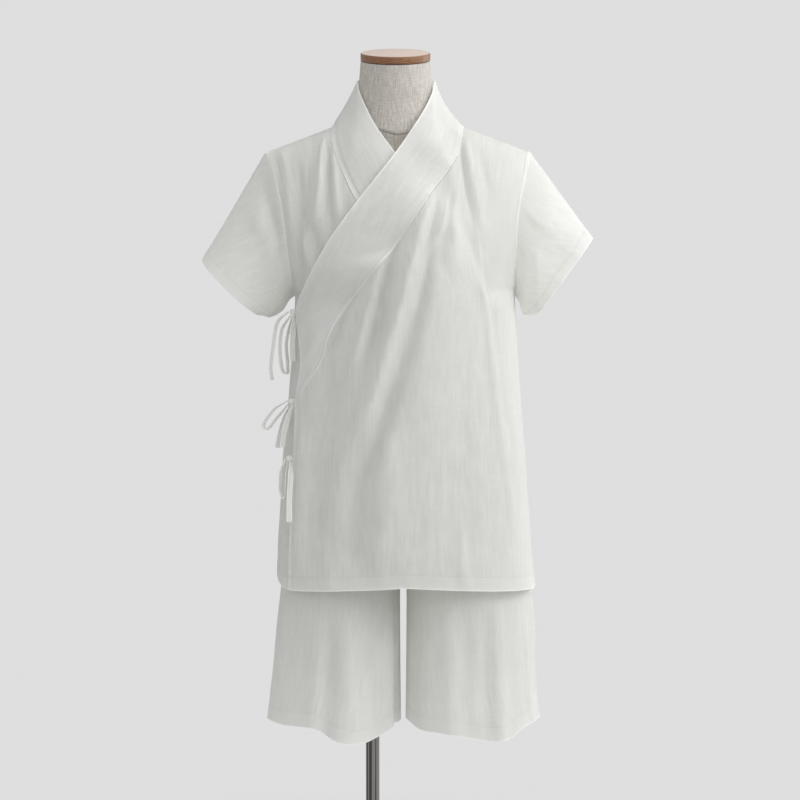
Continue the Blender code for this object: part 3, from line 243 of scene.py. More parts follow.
# Sewing: the step and stitched groove of a turned hem, the puckers along a
# stitched line, the welt beside a seam, and the hem of a free edge
HEM_STEP, HEM_STEP_BEFORE, HEM_STEP_AFTER, GROOVE_WIDTH = 0.0006, 0.0005, 0.0016, 0.0012
PUCKER_HEIGHT, PUCKER_REACH, PUCKER_LENGTH = 0.0003, 0.006, 0.0125
PUCKER_DRIFT, PUCKER_DRIFT_LENGTH = 1.7, 0.071
WELT_HEIGHT, WELT_FROM, WELT_TO = 0.0007, 0.0035, 0.0060
FREE_EDGE_HEM, LAYER_BLUR = 0.009, 0.001

# Sleeves. Places are (x, depth to the back, height) of the outer end's top and
# its lowest point; the swell is half the opening's depth
SLEEVE_TOP = {WEARER_RIGHT: (-0.3065, 0.004, 1.1880), WEARER_LEFT: (0.3140, 0.010, 1.2210)}
SLEEVE_FOOT = {WEARER_RIGHT: (-0.2140, -0.006, 1.1005), WEARER_LEFT: (0.2260, 0.000, 1.1020)}
SLEEVE_SWELL = {WEARER_RIGHT: 0.046, WEARER_LEFT: 0.037}
# How far the front of the opening bows out past the straight line between them
SLEEVE_BOW = {WEARER_RIGHT: 0.0085, WEARER_LEFT: 0.0}
# How far the underside droops, in even steps from the armhole to the hem
SLEEVE_SAG = {
    WEARER_RIGHT: (0.0, 0.003, 0.0125, 0.0155, 0.0155, 0.0125, 0.0065, 0.0),
    WEARER_LEFT: (0.0, 0.007, 0.020, 0.018, 0.014, 0.010, 0.005, 0.0),
}
SLEEVE_LOW_FROM, SLEEVE_CLEAR, ARMHOLE_EASE = 0.2, 0.003, 0.0005
# Fold down the front of each sleeve, where its outer part turns away. Columns:
# place from the armhole (0) to the hem (1), its shift at the underside, height
SLEEVE_TURN = {WEARER_RIGHT: (0.28, 0.10, -0.0040), WEARER_LEFT: (0.46, 0.30, 0.0135)}
SLEEVE_TURN_ROUNDNESS = 0.06
SLEEVE_CREASE_START, SLEEVE_CREASE_LOSS, SLEEVE_SEAM_CALM = 0.35, 0.4, 0.012
SLEEVE_PARTS, ARMHOLE_FOLD_START = 4, 0.08
# Columns: place round the sleeve in degrees from the front towards the top, at
# the armhole and at the hem, half width in degrees, height out from the cloth
SLEEVE_CREASES = (
    (20, 45, 16, 0.0016), (-12, 12, 14, -0.0014), (-45, -30, 14, 0.0024), (52, 70, 12, -0.0016),
    (140, 120, 14, -0.0040), (170, 160, 14, 0.0045), (200, 195, 12, -0.0035), (5, 28, 6, 0.0016),
    (-30, -12, 6, 0.0014), (36, 58, 6, -0.0012), (154, 140, 7, 0.0014),
)
# Folds that run beside the armhole. Columns: place from the armhole (0) to the
# hem (1), middle of the fold round the sleeve, reach round it, half width, height
ARMHOLE_FOLDS = {
    WEARER_RIGHT: ((0.15, 12, 58, 0.070, -0.0062), (0.32, 8, 50, 0.090, 0.0026),
                   (0.20, 168, 50, 0.070, -0.0036)),
    WEARER_LEFT: ((0.80, 40, 30, 0.120, 0.0020), (0.22, 172, 50, 0.070, -0.0034)),
}

# Shorts. Columns: height, half width to the wearer's right, to the left, front
# depth, back depth, half gap between the legs, share of the depth where the
# inner edge stands, roundness of the section
SHORTS_ROWS = (
    (1.0028, 0.1190, 0.1190, 0.0920, 0.0860, 0.0003, 1.00, 1.00),
    (0.9500, 0.1400, 0.1400, 0.1000, 0.0985, 0.0003, 1.00, 1.00),
    (0.9000, 0.1590, 0.1590, 0.1045, 0.1095, 0.0003, 1.00, 1.00),
    (0.8500, 0.1720, 0.1740, 0.1065, 0.1160, 0.0003, 1.00, 1.00),
    (0.8050, 0.1790, 0.1830, 0.1040, 0.1120, 0.0006, 0.97, 1.00),
    (0.7750, 0.1830, 0.1880, 0.0990, 0.1030, 0.0012, 0.80, 1.00),
    (0.7580, 0.1850, 0.1905, 0.0970, 0.0980, 0.0016, 0.50, 1.00),
    (0.7450, 0.1865, 0.1925, 0.0955, 0.0955, 0.0022, 0.00, 1.00),
    (0.7050, 0.1905, 0.1980, 0.0950, 0.0940, 0.0040, 0.00, 0.96),
    (0.6600, 0.1960, 0.2045, 0.0965, 0.0930, 0.0056, 0.00, 0.92),
    (0.6000, 0.2030, 0.2110, 0.0985, 0.0930, 0.0056, 0.00, 0.88),
    (0.5400, 0.2085, 0.2120, 0.1010, 0.0940, 0.0052, 0.00, 0.85),
    (0.4900, 0.2140, 0.2150, 0.1040, 0.0960, 0.0046, 0.00, 0.83),
    (0.4480, 0.2190, 0.2200, 0.1070, 0.0985, 0.0042, 0.00, 0.82),
)
SHORTS_LEAN = 0.0125
# How far the front hem hangs below its side, at even steps from side to inner edge
HEM_DROPS = {
    WEARER_RIGHT: (0.0, -0.006, -0.007, -0.005, -0.005, -0.003, 0.012, 0.020, 0.019, 0.011, 0.0,
                   -0.002, 0.0),
    WEARER_LEFT: (0.0, -0.008, -0.007, 0.0, 0.013, 0.016, 0.012, 0.007, 0.004, 0.004, 0.002,
                  -0.005, 0.0),
}
HEM_DROP_TOP = 0.54
# Columns: place round the leg from the side (0) to the inner edge (1) at the
# top and at the hem, half width in that measure, height out from the cloth
LEG_CREASES = {
    (WEARER_RIGHT, FRONT): ((0.57, 0.56, 0.060, 0.0092), (0.48, 0.46, 0.035, -0.0058),
                            (0.34, 0.32, 0.060, -0.0034), (0.20, 0.16, 0.050, 0.0026),
                            (0.83, 0.82, 0.040, 0.0044), (0.70, 0.71, 0.034, -0.0024),
                            (0.895, 0.870, 0.026, -0.0056)),
    (WEARER_LEFT, FRONT): ((0.63, 0.61, 0.050, 0.0050), (0.53, 0.53, 0.045, -0.0046),
                           (0.44, 0.44, 0.045, -0.0046), (0.37, 0.37, 0.040, 0.0058),
                           (0.84, 0.84, 0.040, -0.0028), (0.74, 0.72, 0.034, 0.0020),
                           (0.25, 0.17, 0.012, 0.0022)),
    (WEARER_RIGHT, BACK): ((0.34, 0.38, 0.085, 0.0070), (0.62, 0.64, 0.085, -0.0060),
                           (0.80, 0.82, 0.050, 0.0030)),
    (WEARER_LEFT, BACK): ((0.30, 0.30, 0.090, 0.0060), (0.58, 0.52, 0.070, -0.0070),
                          (0.76, 0.74, 0.060, 0.0034)),
}
LEG_CREASE_TOP, LEG_CREASE_GROWTH, LEG_EDGE_CALM, LEG_COLUMNS = 0.70, 0.16, 0.05, 66
SIDE_SEAM_HEIGHT, SIDE_SEAM_PLACE, SIDE_SEAM_HALF = 0.0006, 0.004, 0.003
SIDE_SEAM_START, SIDE_SEAM_STITCH = 0.002, 0.0065
CASING_WALL, CASING_INSET, CASING_STITCHES = 0.0016, 0.0018, (0.003, 0.027)
# Gathers round the waist: height, number, and how far and how often they drift
CASING_GATHER, CASING_GATHERS, CASING_DRIFT, CASING_DRIFTS = 0.0005, 48, 1.3, 7
CASING_COLUMNS, CASING_ROWS = 180, 8

# Torso. Columns: height, half width, front depth, back depth, power of the
# section's curve (2 is an ellipse), slope of the section towards the front
TORSO_LEVELS = (
    (0.8000, 0.1250, 0.0680, 0.0800, 2.1, 0.0), (0.8070, 0.1440, 0.0840, 0.0950, 2.1, 0.0),
    (0.8240, 0.1560, 0.0950, 0.1060, 2.1, 0.0), (0.8480, 0.1610, 0.0995, 0.1100, 2.1, 0.0),
    (0.8800, 0.1580, 0.1000, 0.1070, 2.1, 0.0), (0.9300, 0.1420, 0.0970, 0.0970, 2.0, 0.0),
    (0.9800, 0.1220, 0.0915, 0.0860, 2.0, 0.0), (1.0036, 0.1162, 0.0890, 0.0825, 2.0, 0.0),
    (1.0186, 0.1155, 0.0885, 0.0820, 2.0, 0.0), (1.0336, 0.1160, 0.0890, 0.0822, 2.0, 0.0),
    (1.0600, 0.1180, 0.0910, 0.0830, 2.0, 0.0), (1.1000, 0.1270, 0.1000, 0.0880, 2.0, 0.0),
    (1.1400, 0.1360, 0.1085, 0.0940, 2.0, 0.0), (1.1800, 0.1430, 0.1135, 0.0985, 2.1, 0.0),
    (1.2100, 0.1480, 0.1130, 0.1015, 2.1, 0.0), (1.2500, 0.1580, 0.1055, 0.1035, 2.1, 0.0),
    (1.2900, 0.1750, 0.0935, 0.1000, 2.0, 0.0), (1.3250, 0.1910, 0.0790, 0.0900, 1.9, 0.0),
    (1.3450, 0.1955, 0.0680, 0.0800, 1.7, 0.0), (1.3605, 0.1880, 0.0630, 0.0730, 1.5, 0.0),
    (1.3720, 0.1635, 0.0620, 0.0700, 1.45, 0.0), (1.3835, 0.1335, 0.0640, 0.0680, 1.45, 0.02),
    (1.3935, 0.1050, 0.0650, 0.0660, 1.55, 0.05), (1.4040, 0.0800, 0.0635, 0.0620, 1.8, 0.08),
    (1.4180, 0.0690, 0.0615, 0.0580, 2.0, 0.12), (1.4360, 0.0620, 0.0600, 0.0530, 2.0, 0.15),
    (1.4600, 0.0585, 0.0595, 0.0505, 2.0, 0.19), (1.5020, 0.0550, 0.0600, 0.0500, 2.0, 0.19),
)
TORSO_LEAN, WAIST_LEAN = 0.004, 0.012
TORSO_PARTS, TORSO_COLUMNS = 5, 120
NECK_HEIGHTS, CHEST_HEIGHTS = (1.40, 1.45), (1.10, 1.35)
NECK_TILT = 0.19
CAP_FACE, CAP_FACE_BLUR, COVER_RADIUS = 0.0056, 0.0006, 0.058
NECK_SEAM_LEVEL, NECK_SEAM_RISE, NECK_SEAM_SPREAD = 21.0, 0.030, 0.62
NECK_SEAM_WELT, NECK_SEAM_GROOVE = (0.0007, 0.004, 0.003), (0.0010, 0.0016)
# Stand. Columns: node, finish, slot, sides, width of its eased edges, tilt
STAND = (
    ("neck_cap", "oak", "oiled_oak", 72, 0.0022, math.atan(NECK_TILT)),
    ("pole", "steel", "dark_steel", 48, 0.0008),
    ("pole_socket", "steel", "dark_steel", 48, 0.0012),
    ("base_hub", "enamel", "grey_enamel", 56, 0.0040),
    ("base_plate", "enamel", "grey_enamel", 128, 0.0022),
)

# Bows at the wearer's right side. Places are (x, depth to the back, height)
KNOT_SIZE = (0.011, 0.009, 0.010)
KNOTS = {
    "upper": (-0.1617, -0.0491, 1.1057),
    "middle": (-0.1632, -0.0678, 0.9660),
    "lower": (-0.1660, -0.0795, 0.8770),
}
KNOT_LEANS = {"upper": 0.6, "middle": -0.5, "lower": 0.4}
KNOT_RINGS, KNOT_AROUND = 22, 36
# Grooves between the knot's turns of strip: depth, how close, start and sharpness.
# Ripples across them: depth, how close and their slant
KNOT_GROOVE, KNOT_GROOVES, KNOT_GROOVE_START, KNOT_GROOVE_SHARPNESS = 0.13, 4.4, 0.5, 0.6
KNOT_RIPPLE, KNOT_RIPPLES, KNOT_RIPPLE_SLANT = 0.05, 9.0, 2
KNOT_PINCH, PINCH_REACH = 0.5, (0.007, 0.028)
STRIP_STEPS, STRIP_COLUMNS = 56, 6
# A strip's curl: height, level of its middle, start and turns down its length. Its
# gathers beside the knot: height and half waves across
TIE_CURL, TIE_CURL_MIDDLE, TIE_CURL_START, TIE_CURL_TURNS = 0.0007, 0.3, 3.0, 7.0
TIE_GATHER, TIE_GATHERS, TIE_STITCH = 0.0005, 3, 0.0016
# Each strip: its bow, its route from the knot as offsets, and the way its width points
TIE_STRIPS = {
    "tie_upper_loop_outer": ("upper", (
        (-0.0036, 0.0004, -0.0057), (-0.0172, 0.0060, -0.0277), (-0.0208, 0.0080, -0.0597),
        (-0.0173, 0.0100, -0.0917), (-0.0093, 0.0080, -0.0977), (-0.0083, 0.0040, -0.0817),
        (-0.0103, 0.0040, -0.0467), (-0.0008, 0.0010, -0.0057)), (0.50, 0.86, 0.0)),
    "tie_upper_tail_outer": ("upper", (
        (-0.0069, -0.0010, 0.0010), (-0.0243, -0.0020, -0.0177), (-0.0318, -0.0020, -0.0577),
        (-0.0353, 0.0000, -0.0867), (-0.0328, 0.0020, -0.1077)), (0.60, 0.80, 0.0)),
    "tie_upper_tail_inner": ("upper", (
        (0.0024, -0.0022, -0.0055), (0.0004, -0.0050, -0.0317), (-0.0008, -0.0060, -0.0577),
        (0.0000, -0.0060, -0.0777)), (0.90, 0.40, 0.0)),
    "tie_middle_loop_outer": ("middle", (
        (-0.0064, 0.0000, 0.0010), (-0.0263, 0.0048, -0.0120), (-0.0428, 0.0078, -0.0330),
        (-0.0443, 0.0078, -0.0420), (-0.0373, 0.0058, -0.0440), (-0.0233, 0.0018, -0.0260),
        (-0.0062, 0.0000, -0.0050)), (0.62, 0.78, 0.0)),
    "tie_middle_tail_outer": ("middle", (
        (-0.0020, 0.0026, -0.0057), (-0.0123, 0.0098, -0.0300), (-0.0193, 0.0108, -0.0520),
        (-0.0233, 0.0098, -0.0740)), (0.75, 0.65, 0.0)),
    "tie_middle_tail_inner": ("middle", (
        (0.0020, -0.0026, -0.0057), (-0.0053, -0.0042, -0.0250), (-0.0113, -0.0042, -0.0480),
        (-0.0143, -0.0032, -0.0720)), (0.80, 0.60, 0.0)),
    "tie_lower_loop_outer": ("lower", (
        (-0.0068, 0.0000, -0.0008), (-0.0140, 0.0005, -0.0200), (-0.0150, 0.0015, -0.0480),
        (-0.0110, 0.0025, -0.0620), (-0.0060, 0.0015, -0.0580), (-0.0050, -0.0005, -0.0320),
        (-0.0028, 0.0014, -0.0057)), (0.35, 0.94, 0.0)),
    "tie_lower_tail_inner": ("lower", (
        (0.0022, -0.0024, -0.0055), (0.0020, -0.0135, -0.0300), (0.0000, -0.0165, -0.0640),
        (0.0000, -0.0175, -0.0980)), (0.85, 0.50, 0.0)),
}

# Finishes: how far a stitched line and a rolled edge with its painted highlight reach, the sewn
# share of a stitch, the light that passes the cloth, and the painted shade on the shorts beside the jacket's
STITCH_REACH, ROLLED_EDGE_AND_HIGHLIGHT_REACH, STITCH_SHARE = 0.0010, 0.0026, 0.68
# The shorts' darker tone beside the jacket's cloth is painted shade
LIGHT_THROUGH, SHORTS_PAINTED_SHADE = (0.93, 0.93, 0.905), 0.955
LINEN_THREAD, LINEN_SEAM_REACH = 0.0009, 0.0011
# Thicker stretches of thread. Columns: changes in a metre across the cloth and
# along it, detail, roughness, share
COTTON_SLUBS = ((520.0, 26.0, 4.0, 0.65, 0.40), (210.0, 17.0, 3.0, 0.6, 0.32), (34.0, 640.0, 4.0, 0.65, 0.28))
LINEN_SLUBS = ((460.0, 46.0, 4.0, 0.72, 0.62), (90.0, 620.0, 4.0, 0.72, 0.38))
# Tones beside the plain colour: thin and thick threads, the painted highlight on a rolled edge, the seam
COTTON_TONES, ROLLED_EDGE_HIGHLIGHT_TONE = (0.82, 1.07), 1.09
LINEN_TONES, LINEN_SEAM_TONE = (0.66, 1.14), 0.26

# Studio. Columns: place, aim, size, colour
LIGHTS = {
    "key": ((2.85, -1.10, 2.85), (0.04, 0.0, 1.10), (1.8, 2.0), (0.98, 0.985, 1.0)),
    "fill": ((1.4, -3.1, 2.9), (0.04, 0.0, 1.10), (2.4, 2.4), (1.0, 1.0, 0.99)),
    "top": ((0.4, -0.6, 4.2), (0.04, 0.0, 1.10), (2.4, 2.4), (1.0, 1.0, 1.0)),
    "rim": ((2.4, 1.2, 1.3), (0.2, 0.0, 1.15), (1.0, 1.6), (0.985, 0.99, 1.0)),
}
FLOOR_COLOUR, LIT_FLOOR_RADIUS, LIT_FLOOR_BLUR = (0.60, 0.60, 0.60), 0.75, 0.6
# Camera, as the photograph was taken
CAMERA_PLACE = (0.0442, -3.8, 1.25)
CAMERA_PITCH = 4.319
CAMERA_LENS = 107.18


def tint(name, description, default):
    return FloatVectorProperty(name=name, description=description, default=default, subtype="COLOR",
                               size=3, min=0, max=1)


def metres(name, description, default, low, high):
    return FloatProperty(name=name, description=description, default=default, min=low, max=high,
                         unit="LENGTH")


def share_of(name, description, default):
    return FloatProperty(name=name, description=description, default=default, min=0, max=1,
                         subtype="FACTOR")


def watts(name, description, default):
    return FloatProperty(name=name, description=description, default=default, min=0, max=500,
                         unit="POWER")


class ClothSettings(bpy.types.PropertyGroup):
    """Sizes and colours of the white cloth."""
    colour: tint("Colour", "Colour of the bleached cotton", (0.902, 0.904, 0.887))
    wall: metres("Cloth wall", "Thickness of one layer with its nap", 0.0011, 0.0004, 0.002)
    collar_wall: metres("Collar wall", "Thickness of the doubled collar", 0.0020, 0.001, 0.003)
    tie_wall: metres("Tie wall", "Thickness of a folded tie strip", 0.0012, 0.0006, 0.002)
    tie_width: metres("Tie width", "Width of a tie strip", 0.009, 0.005, 0.015)
    hem: metres("Hem", "Depth of the jacket's and the shorts' hems", 0.022, 0.01, 0.04)
    cuff: metres("Cuff", "Depth of the sleeves' hems", 0.018, 0.01, 0.04)
    sheerness: share_of("Sheerness", "Share of light that passes a layer", 0.57)
    band_colour: tint("Collar colour", "Colour of the doubled collar", (0.914, 0.915, 0.904))
    band_sheerness: share_of("Collar sheerness", "Share of light that passes the collar", 0.56)
    rumple: metres("Rumple", "Height of the cloth's small unevenness", 0.0005, 0, 0.002)
    thread: metres("Thread spacing", "Distance from thread to thread", 0.00055, 0.0002, 0.002)
    stitch: metres("Stitch length", "Distance from stitch to stitch", 0.0030, 0.001, 0.006)


class StandSettings(bpy.types.PropertyGroup):
    """Colours of the dress form and its stand."""
    linen: tint("Linen", "Colour of the form's cover", (0.50, 0.472, 0.428))
    oak: tint("Oak", "Colour of the neck cap's wood", (0.168, 0.073, 0.028))
    steel: tint("Steel", "Colour of the pole and socket", (0.062, 0.060, 0.057))
    enamel: tint("Enamel", "Colour of the base plate", (0.10, 0.105, 0.11))


class StudioSettings(bpy.types.PropertyGroup):
    """Light and floor of the studio."""
    backdrop: tint("Backdrop", "Colour of the room and far floor", (0.735, 0.735, 0.740))
    key_power: watts("Key light", "Power of the soft light at the right", 65.5)
    fill_power: watts("Fill light", "Power of the soft light in front", 27.0)
    top_power: watts("Top light", "Power of the soft light overhead", 17.0)
    rim_power: watts("Rim light", "Power of the light behind the right sleeve", 21.0)


def smooth_value(values, position):
    """Curve through evenly spaced values, points or lines, read at fractional indexes."""
    values, position = np.asarray(values, float), np.asarray(position, float)
    last = len(values) - 1
    i = np.clip(position.astype(int), 0, last - 1)
    shape = position.shape + (1,) * (values.ndim - 1)
    t = (position - i).reshape(shape)
    b, c = values[i], values[i + 1]
    a = np.where((i > 0).reshape(shape), values[np.maximum(i - 1, 0)], 2 * b - c)
    d = np.where((i + 2 <= last).reshape(shape), values[np.minimum(i + 2, last)], 2 * c - b)
    return b + 0.5 * t * (c - a + t * (2 * a - 5 * b + 4 * c - d + t * (3 * (b - c) + d - a)))


def smooth_step(value, low, high):
    t = np.clip((np.asarray(value, float) - low) / (high - low), 0.0, 1.0)
    return t * t * (3 - 2 * t)


def bell(distance, width):
    return np.exp(-(distance / width) ** 2)


def value_at(table, key, column):
    """Column of a table whose first column rises, read at keys between rows."""
    keys = np.array([row[0] for row in table])
    i = np.searchsorted(keys[1:-1], key)
    share = (key - keys[i]) / (keys[i + 1] - keys[i])
    return smooth_value([row[column] for row in table], i + share)


def stations(start, *stops):
    """Values from a start through stops, each given with its number of even steps."""
    values = [start]
    for stop, steps in stops:
        values += list(np.linspace(values[-1], stop, steps + 1)[1:])
    return np.array(values)


def halved(low, high, is_short):
    """Where values between low and high stop being short, found by halving."""
    for _ in range(HALVINGS):
        middle = (low + high) / 2
        short = is_short(middle)
        low, high = np.where(short, middle, low), np.where(short, high, middle)
    return (low + high) / 2


def unit(vectors):
    return vectors / np.maximum(np.linalg.norm(vectors, axis=-1, keepdims=True), 1e-9)


def refined(grid, row_parts, column_parts):
    """Finer grid of points on smooth curves through a coarse one."""
    for parts in (row_parts, column_parts):
        last = len(grid) - 1
        grid = smooth_value(grid, np.linspace(0, last, last * parts + 1)).transpose(1, 0, 2)
    return grid


def surface_normals(grid, ring=False):
    """Directions square to a grid, towards the side its faces show."""
    along = np.roll(grid, -1, axis=1) - np.roll(grid, 1, axis=1) if ring else np.gradient(grid, axis=1)
    return unit(np.cross(along, np.gradient(grid, axis=0)))


def raised(grid, rise, ring=False, flip=1):
    return grid + surface_normals(grid, ring) * (flip * rise)[..., None]


def lengths(grid, axis):
    """Distance along a grid's rows or columns from its first line."""
    steps = np.linalg.norm(np.diff(grid, axis=axis), axis=-1)
    start = np.zeros_like(np.take(steps, [0], axis=axis))
    return np.concatenate((start, np.cumsum(steps, axis=axis)), axis=axis)


def rumples(x, y, z, seed):
    """Small uneven waves, mostly upright, between -1 and 1."""
    values = np.zeros_like(x)
    chance = np.random.RandomState(seed)
    smallest, more = RUMPLE_SIZES
    shortest, longer = RUMPLE_BEND_LENGTHS
    for _ in range(RUMPLE_WAVES):
        size = smallest + more * chance.rand()
        slope = RUMPLE_SLOPE * (chance.rand() - 0.5)
        twist = RUMPLE_TWIST * chance.rand()
        shift = WAVE * chance.rand()
        bend_length = shortest + longer * chance.rand()
        bend = RUMPLE_BEND * np.sin(WAVE * z / bend_length + WAVE * chance.rand())
        wave = np.sin(WAVE * (x + slope * z + twist * y + bend) / size + shift)
        values += wave * (0.5 + size / more)
    return values / RUMPLE_SCALE


# The jacket's form

SIDE_COLUMNS = tuple(zip(*SIDE_ROWS))
FACE_COLUMNS = {FRONT: tuple(zip(*FRONT_ROWS)), BACK: tuple(zip(*BACK_ROWS))}


def jacket_base(face, across, row):
    """Points of the jacket's smooth form, across from -1 to 1 along a row."""
    across, row = np.broadcast_arrays(np.asarray(across, float), np.asarray(row, float))
    side_z, half, lean, wrap = (smooth_value(column, row) for column in SIDE_COLUMNS)
    middle_z, depth, side_depth = (smooth_value(column, row) for column in FACE_COLUMNS[face])
    angle = np.radians(np.minimum(wrap, 90))
    side_depth = np.maximum(side_depth, 0.0)
    share = np.sin(across * angle) / np.sin(angle)
    bow = np.maximum((np.cos(across * angle) - np.cos(angle)) / (1 - np.cos(angle)), 0.0)
    z = middle_z + (side_z - middle_z) * np.abs(share)
    near_side = smooth_step(-across, RIGHT_HEM_FROM, 1.0)
    z = z + RIGHT_HEM_RISE * near_side * (1 - smooth_step(row, 0.0, RIGHT_HEM_ROWS))
    round_share = smooth_step(row, ROUND_FROM_ROW, UNDERARM_ROW)
    power = HEM_ROUNDNESS + (CHEST_ROUNDNESS - HEM_ROUNDNESS) * round_share
    y = side_depth + (depth - side_depth) * bow ** power
    gap = SEAM_GAP + (SHOULDER_GAP - SEAM_GAP) * smooth_step(row, SHOULDER_CALM_ROW, SHOULDER_ROW)
    return np.stack((lean + half * share, face * (y + gap / 2), z), axis=-1)


def jacket_normal(face, across, row):
    """Outward directions of the smooth form."""
    low, high = np.maximum(row - ROW_STEP, 0.0), np.minimum(row + ROW_STEP, SHOULDER_ROW)
    left, right = np.maximum(across - ACROSS_STEP, -1.0), np.minimum(across + ACROSS_STEP, 1.0)
    along = jacket_base(face, right, row) - jacket_base(face, left, row)
    up = jacket_base(face, across, high) - jacket_base(face, across, low)
    return unit(np.cross(along, up)) * -face


def crease_height(creases, x, z):
    """Sum of the creases that pass places seen from the front; each widens downwards."""
    total = np.zeros_like(x)
    for top, bottom, *middles, width, height in creases:
        down = np.clip((top - z) / (top - bottom), 0.0, 1.0)
        fade = smooth_step(down, 0.0, CREASE_FADE_IN) * (1 - smooth_step(down, CREASE_FADE_OUT, 1.0))
        spread = CREASE_START_WIDTH + CREASE_SPREAD * down
        total += height * fade * bell(x - smooth_value(middles, 3 * down), width * spread)
    return total


def jacket_point(face, across, row, creases=(), lift=0.0, seed=None):
    """Points of the creased cloth, raised by a lift. Seams keep the smooth form."""
    place = jacket_base(face, across, row)
    calm = 1 - smooth_step(np.abs(across), SIDE_CALM_FROM, 1.0)
    calm = calm * (1 - smooth_step(row, SHOULDER_CALM_ROW, SHOULDER_ROW))
    x, y, z = np.moveaxis(place, -1, 0)
    rise = crease_height(creases, x, z)
    if seed is not None:
        rise = rise + bpy.context.scene.pajama_cloth.rumple * rumples(x, y, z, seed)
    return place + jacket_normal(face, across, row) * (rise * calm + lift)[..., None]


def wrap_lift(place, across):
    """How far the outer front stands off, where the under front lies inside it."""
    rising = [(x, z) for x, z, _, _ in EDGES[WEARER_RIGHT] if x >= 0.0]
    edge_z = value_at(rising, np.clip(place[..., 0], rising[0][0], rising[-1][0]), 1)
    above = smooth_step(place[..., 2], edge_z + WRAP_EDGE_FROM, edge_z + WRAP_EDGE_TO)
    inside = np.where(place[..., 0] > 0, 1 - above, 1.0)
    return WRAP_LIFT * inside * (1 - smooth_step(across, WRAP_SIDE_FROM, WRAP_SIDE_TO))


def across_of_line(face, row, line_x):
    """Where rows meet a line given as x for a height."""
    def left_of(across):
        place = jacket_base(face, across, row)
        return place[..., 0] < line_x(place[..., 2])
    return halved(np.full_like(row, -1.0), np.full_like(row, 1.0), left_of)


def located(x, z):
    """The across and row of places on the front, seen from the front."""
    def across_at(row):
        half, lean, wrap = (smooth_value(column, row) for column in SIDE_COLUMNS[1:])
        angle = np.radians(np.minimum(wrap, 90))
        share = np.clip((x - lean) / half, -SIDE_SHARE_LIMIT, SIDE_SHARE_LIMIT)
        return np.arcsin(share * np.sin(angle)) / angle
    row = halved(np.zeros_like(x), np.full_like(x, SHOULDER_ROW),
                 lambda row: jacket_base(FRONT, across_at(row), row)[..., 2] < z)
    return across_at(row), row


def raised_depth(side, x, z):
    """Depth of the front at places, standing off by the wrap's lift."""
    target_x, target_z = x.copy(), z.copy()
    for _ in range(RAISE_ROUNDS):
        across, row = located(target_x, target_z)
        place = jacket_base(FRONT, across, row)
        lift = wrap_lift(place, across) if side == WEARER_LEFT else np.zeros_like(x)
        place = place + jacket_normal(FRONT, across, row) * lift[..., None]
        target_x += x - place[..., 0]
        target_z += z - place[..., 2]
    return place[..., 1]


def front_edge_across(side, row):
    """Where a front panel starts on rows: at the collar's seam, or at the straight
    free edge below it, which runs outwards to the hem."""
    table = SEAMS[side]
    top_z, hem_z = table[0][0], FRONT_ROWS[0][0]

    def seam_x(z):
        return value_at(table, np.clip(z, top_z, table[-1][0]), 1)

    def free_x(z):
        down = smooth_step(top_z - z, 0.0, top_z - hem_z)
        return FREE_EDGE_X[side] + (FREE_EDGE_HEM_X[side] - FREE_EDGE_X[side]) * down
    return np.where(row > COLLAR_END_ROW, across_of_line(FRONT, row, seam_x),
                    across_of_line(FRONT, row, free_x))


def front_point(side, across, row, seed=None):
    """Points on a front panel; the outer one is raised over the under one."""
    if side == WEARER_RIGHT:
        return jacket_point(FRONT, across, row, UNDER_CREASES, seed=seed)
    lift = wrap_lift(jacket_base(FRONT, across, row), across)
    return jacket_point(FRONT, across, row, OUTER_CREASES, lift, seed)


# Making meshes

def grid_faces(rows, columns, ring=False):
    pairs = [(j, (j + 1) % columns) for j in range(columns if ring else columns - 1)]
    return [(i * columns + j, i * columns + k, (i + 1) * columns + k, (i + 1) * columns + j)
            for i in range(rows - 1) for j, k in pairs]


def mapped_piece(name, points, faces, maps, finish):
    """Piece on points round the neck's axis, with its maps and its finish."""
    mesh = bpy.data.meshes.new(name)
    mesh.from_pydata((points + (NECK_AXIS_X, 0.0, 0.0)).reshape(-1, 3).tolist(), [], faces)
    corners = np.zeros(len(mesh.loops), int)
    mesh.loops.foreach_get("vertex_index", corners)
    for map_name, values in maps.items():
        mesh.uv_layers.new(name=map_name).data.foreach_set("uv", values.reshape(-1, 2)[corners].ravel())
    mesh.materials.append(material(finish))
    piece = bpy.data.objects.new(name, mesh)
    bpy.context.collection.objects.link(piece)
    return piece


def cloth_mesh(name, grid, maps, finish="cotton", wall=None, ring=False, turn=False):
    """Sheet on a grid of points, with the cloth's wall unless another is given."""
    faces = grid_faces(*grid.shape[:2], ring)
    piece = mapped_piece(name, grid, [face[::-1] for face in faces] if turn else faces, maps, finish)
    solid = piece.modifiers.new("wall", "SOLIDIFY")
    solid.thickness = wall or bpy.context.scene.pajama_cloth.wall
    solid.offset = 0.0
    solid.use_even_offset = False
    return finished(piece)


def finished(piece, sharp=50):
    """Applies what shapes a piece, then smooths it but for its hard edges."""
    bpy.ops.object.select_all(action="DESELECT")
    bpy.context.view_layer.objects.active = piece
    piece.select_set(True)
    for modifier in list(piece.modifiers):
        bpy.ops.object.modifier_apply(modifier=modifier.name)
    bpy.ops.object.shade_smooth_by_angle(angle=math.radians(sharp))
    return piece


def cloth_maps(grid, line_a=(FAR, FAR), line_b=(FAR, FAR), weave=None, fold=FAR, layers=0.0):
    """Weave map in metres, distances to and along two stitched lines, and the
    distance to a folded edge beside the share of a doubled layer."""
    pairs = {"weave": weave or (lengths(grid, 1), lengths(grid, 0)), "fold": (fold, layers),
             "stitch_a": line_a, "stitch_b": line_b}
    even = np.ones(grid.shape[:2])
    return {name: np.stack([even * values for values in pair], axis=-1) for name, pair in pairs.items()}


def upright_weave(grid, across):
    """Weave whose upright threads run down the panel's own upright lines."""
    across = across + 0 * grid[..., 2]
    return across * (lengths(grid, 1)[:, -1].mean() / np.ptp(across, axis=1).mean()), grid[..., 2]


